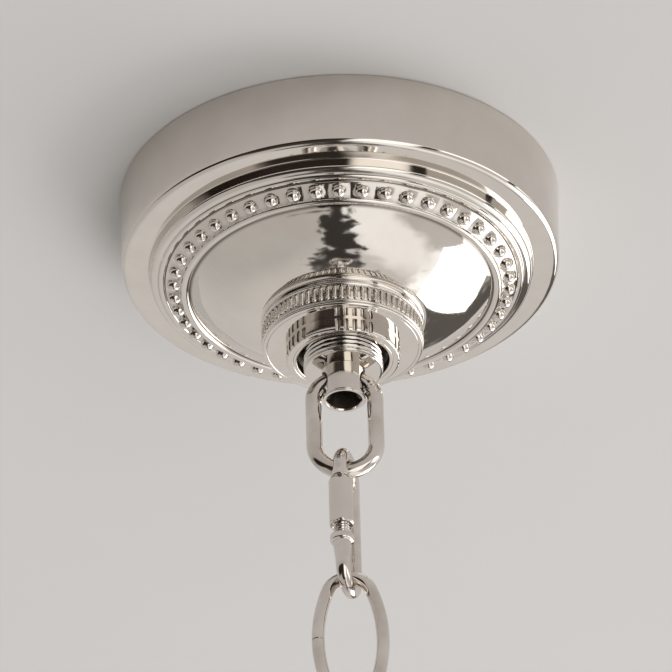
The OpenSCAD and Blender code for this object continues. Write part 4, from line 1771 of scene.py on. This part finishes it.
@dataclass
class StudioCamera:
    """A long lens looking up from below."""

    eye: tuple[float, float, float] = (0.0, -1.656, -1.153)
    target: tuple[float, float, float] = (-0.00201, 0.0, -0.0493)
    lens: float = 349.2
    roll: float = -1.5

    def make(self) -> None:
        """Places the camera."""
        camera = bpy.data.cameras.new("long_lens")
        camera.lens, camera.sensor_width = self.lens, 36.0
        camera.clip_start, camera.clip_end = 0.05, 60.0
        stand = bpy.data.objects.new("long_lens", camera)
        ahead = Vector(self.target) - Vector(self.eye)
        aim = ahead.to_track_quat("-Z", "Y").to_matrix().to_4x4()
        stand.matrix_world = (Matrix.Translation(self.eye) @ aim
                              @ Matrix.Rotation(math.radians(self.roll), 4, "Z"))
        bpy.context.scene.collection.objects.link(stand)
        bpy.context.scene.camera = stand


ROOM = (
    Patch(70, -58, (75, 34), (0.74, 0.72, 0.70), 0.35),
    Patch(178, -25, (50, 45), (0.58, 0.55, 0.52), 0.4),
    Patch(44, -43, (14, 11), (1.45, 1.45, 1.45), 0.25, warp=0.35, grain=5.0),
    Patch(110, -70, (30, 12), (1.15, 1.14, 1.12), 0.4, warp=0.3, grain=4.0),
    Patch(24, -12, (12, 27), (0.09, 0.08, 0.07), 0.3, share=0.94, warp=0.6, grain=8.0),
    Patch(41, -20, (9, 8), (0.28, 0.25, 0.22), 0.4, share=0.9, warp=0.5, grain=8.0),
    Patch(-140, -16, (52, 15), (0.024, 0.017, 0.013), 0.2, warp=0.12, grain=5.0),
    Patch(-160, -32, (26, 24), (0.035, 0.027, 0.022), 0.25, share=0.95, warp=0.15, grain=5.0),
    Patch(-164, -56, (22, 6), (0.04, 0.035, 0.03), 0.4, warp=0.2, grain=5.0),
    Patch(-172, -87, (6.5, 28), (0.05, 0.045, 0.04), 0.35, warp=0.5, grain=9.0),
    Patch(156, -26, (14, 24), (1.6, 1.57, 1.52), 0.35),
    Patch(108, -8, (30, 8), (1.9, 1.87, 1.82), 0.4),
    Patch(134, -18, (4, 14), (0.04, 0.035, 0.03), 0.3, warp=0.15),
    Patch(86, -14, (3, 12), (0.05, 0.045, 0.04), 0.3, warp=0.15),
)


def main() -> None:
    """Builds every sub-assembly, the studio and the camera."""
    logging.basicConfig(level=logging.INFO, format="%(name)s %(message)s")
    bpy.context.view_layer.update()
    StudioCamera().make()
    for part in (SpunCanopy(), SeatDisc(), ScrewCollar(), LoopBarrel(), WireWay(), TopLink(),
                 QuickLink(), OvalLink(), CeilingHardware()):
        part.make()
    Studio(patches=ROOM).make()
    bpy.context.scene.view_settings.view_transform = "Standard"


if __name__ == "__main__":
    main()
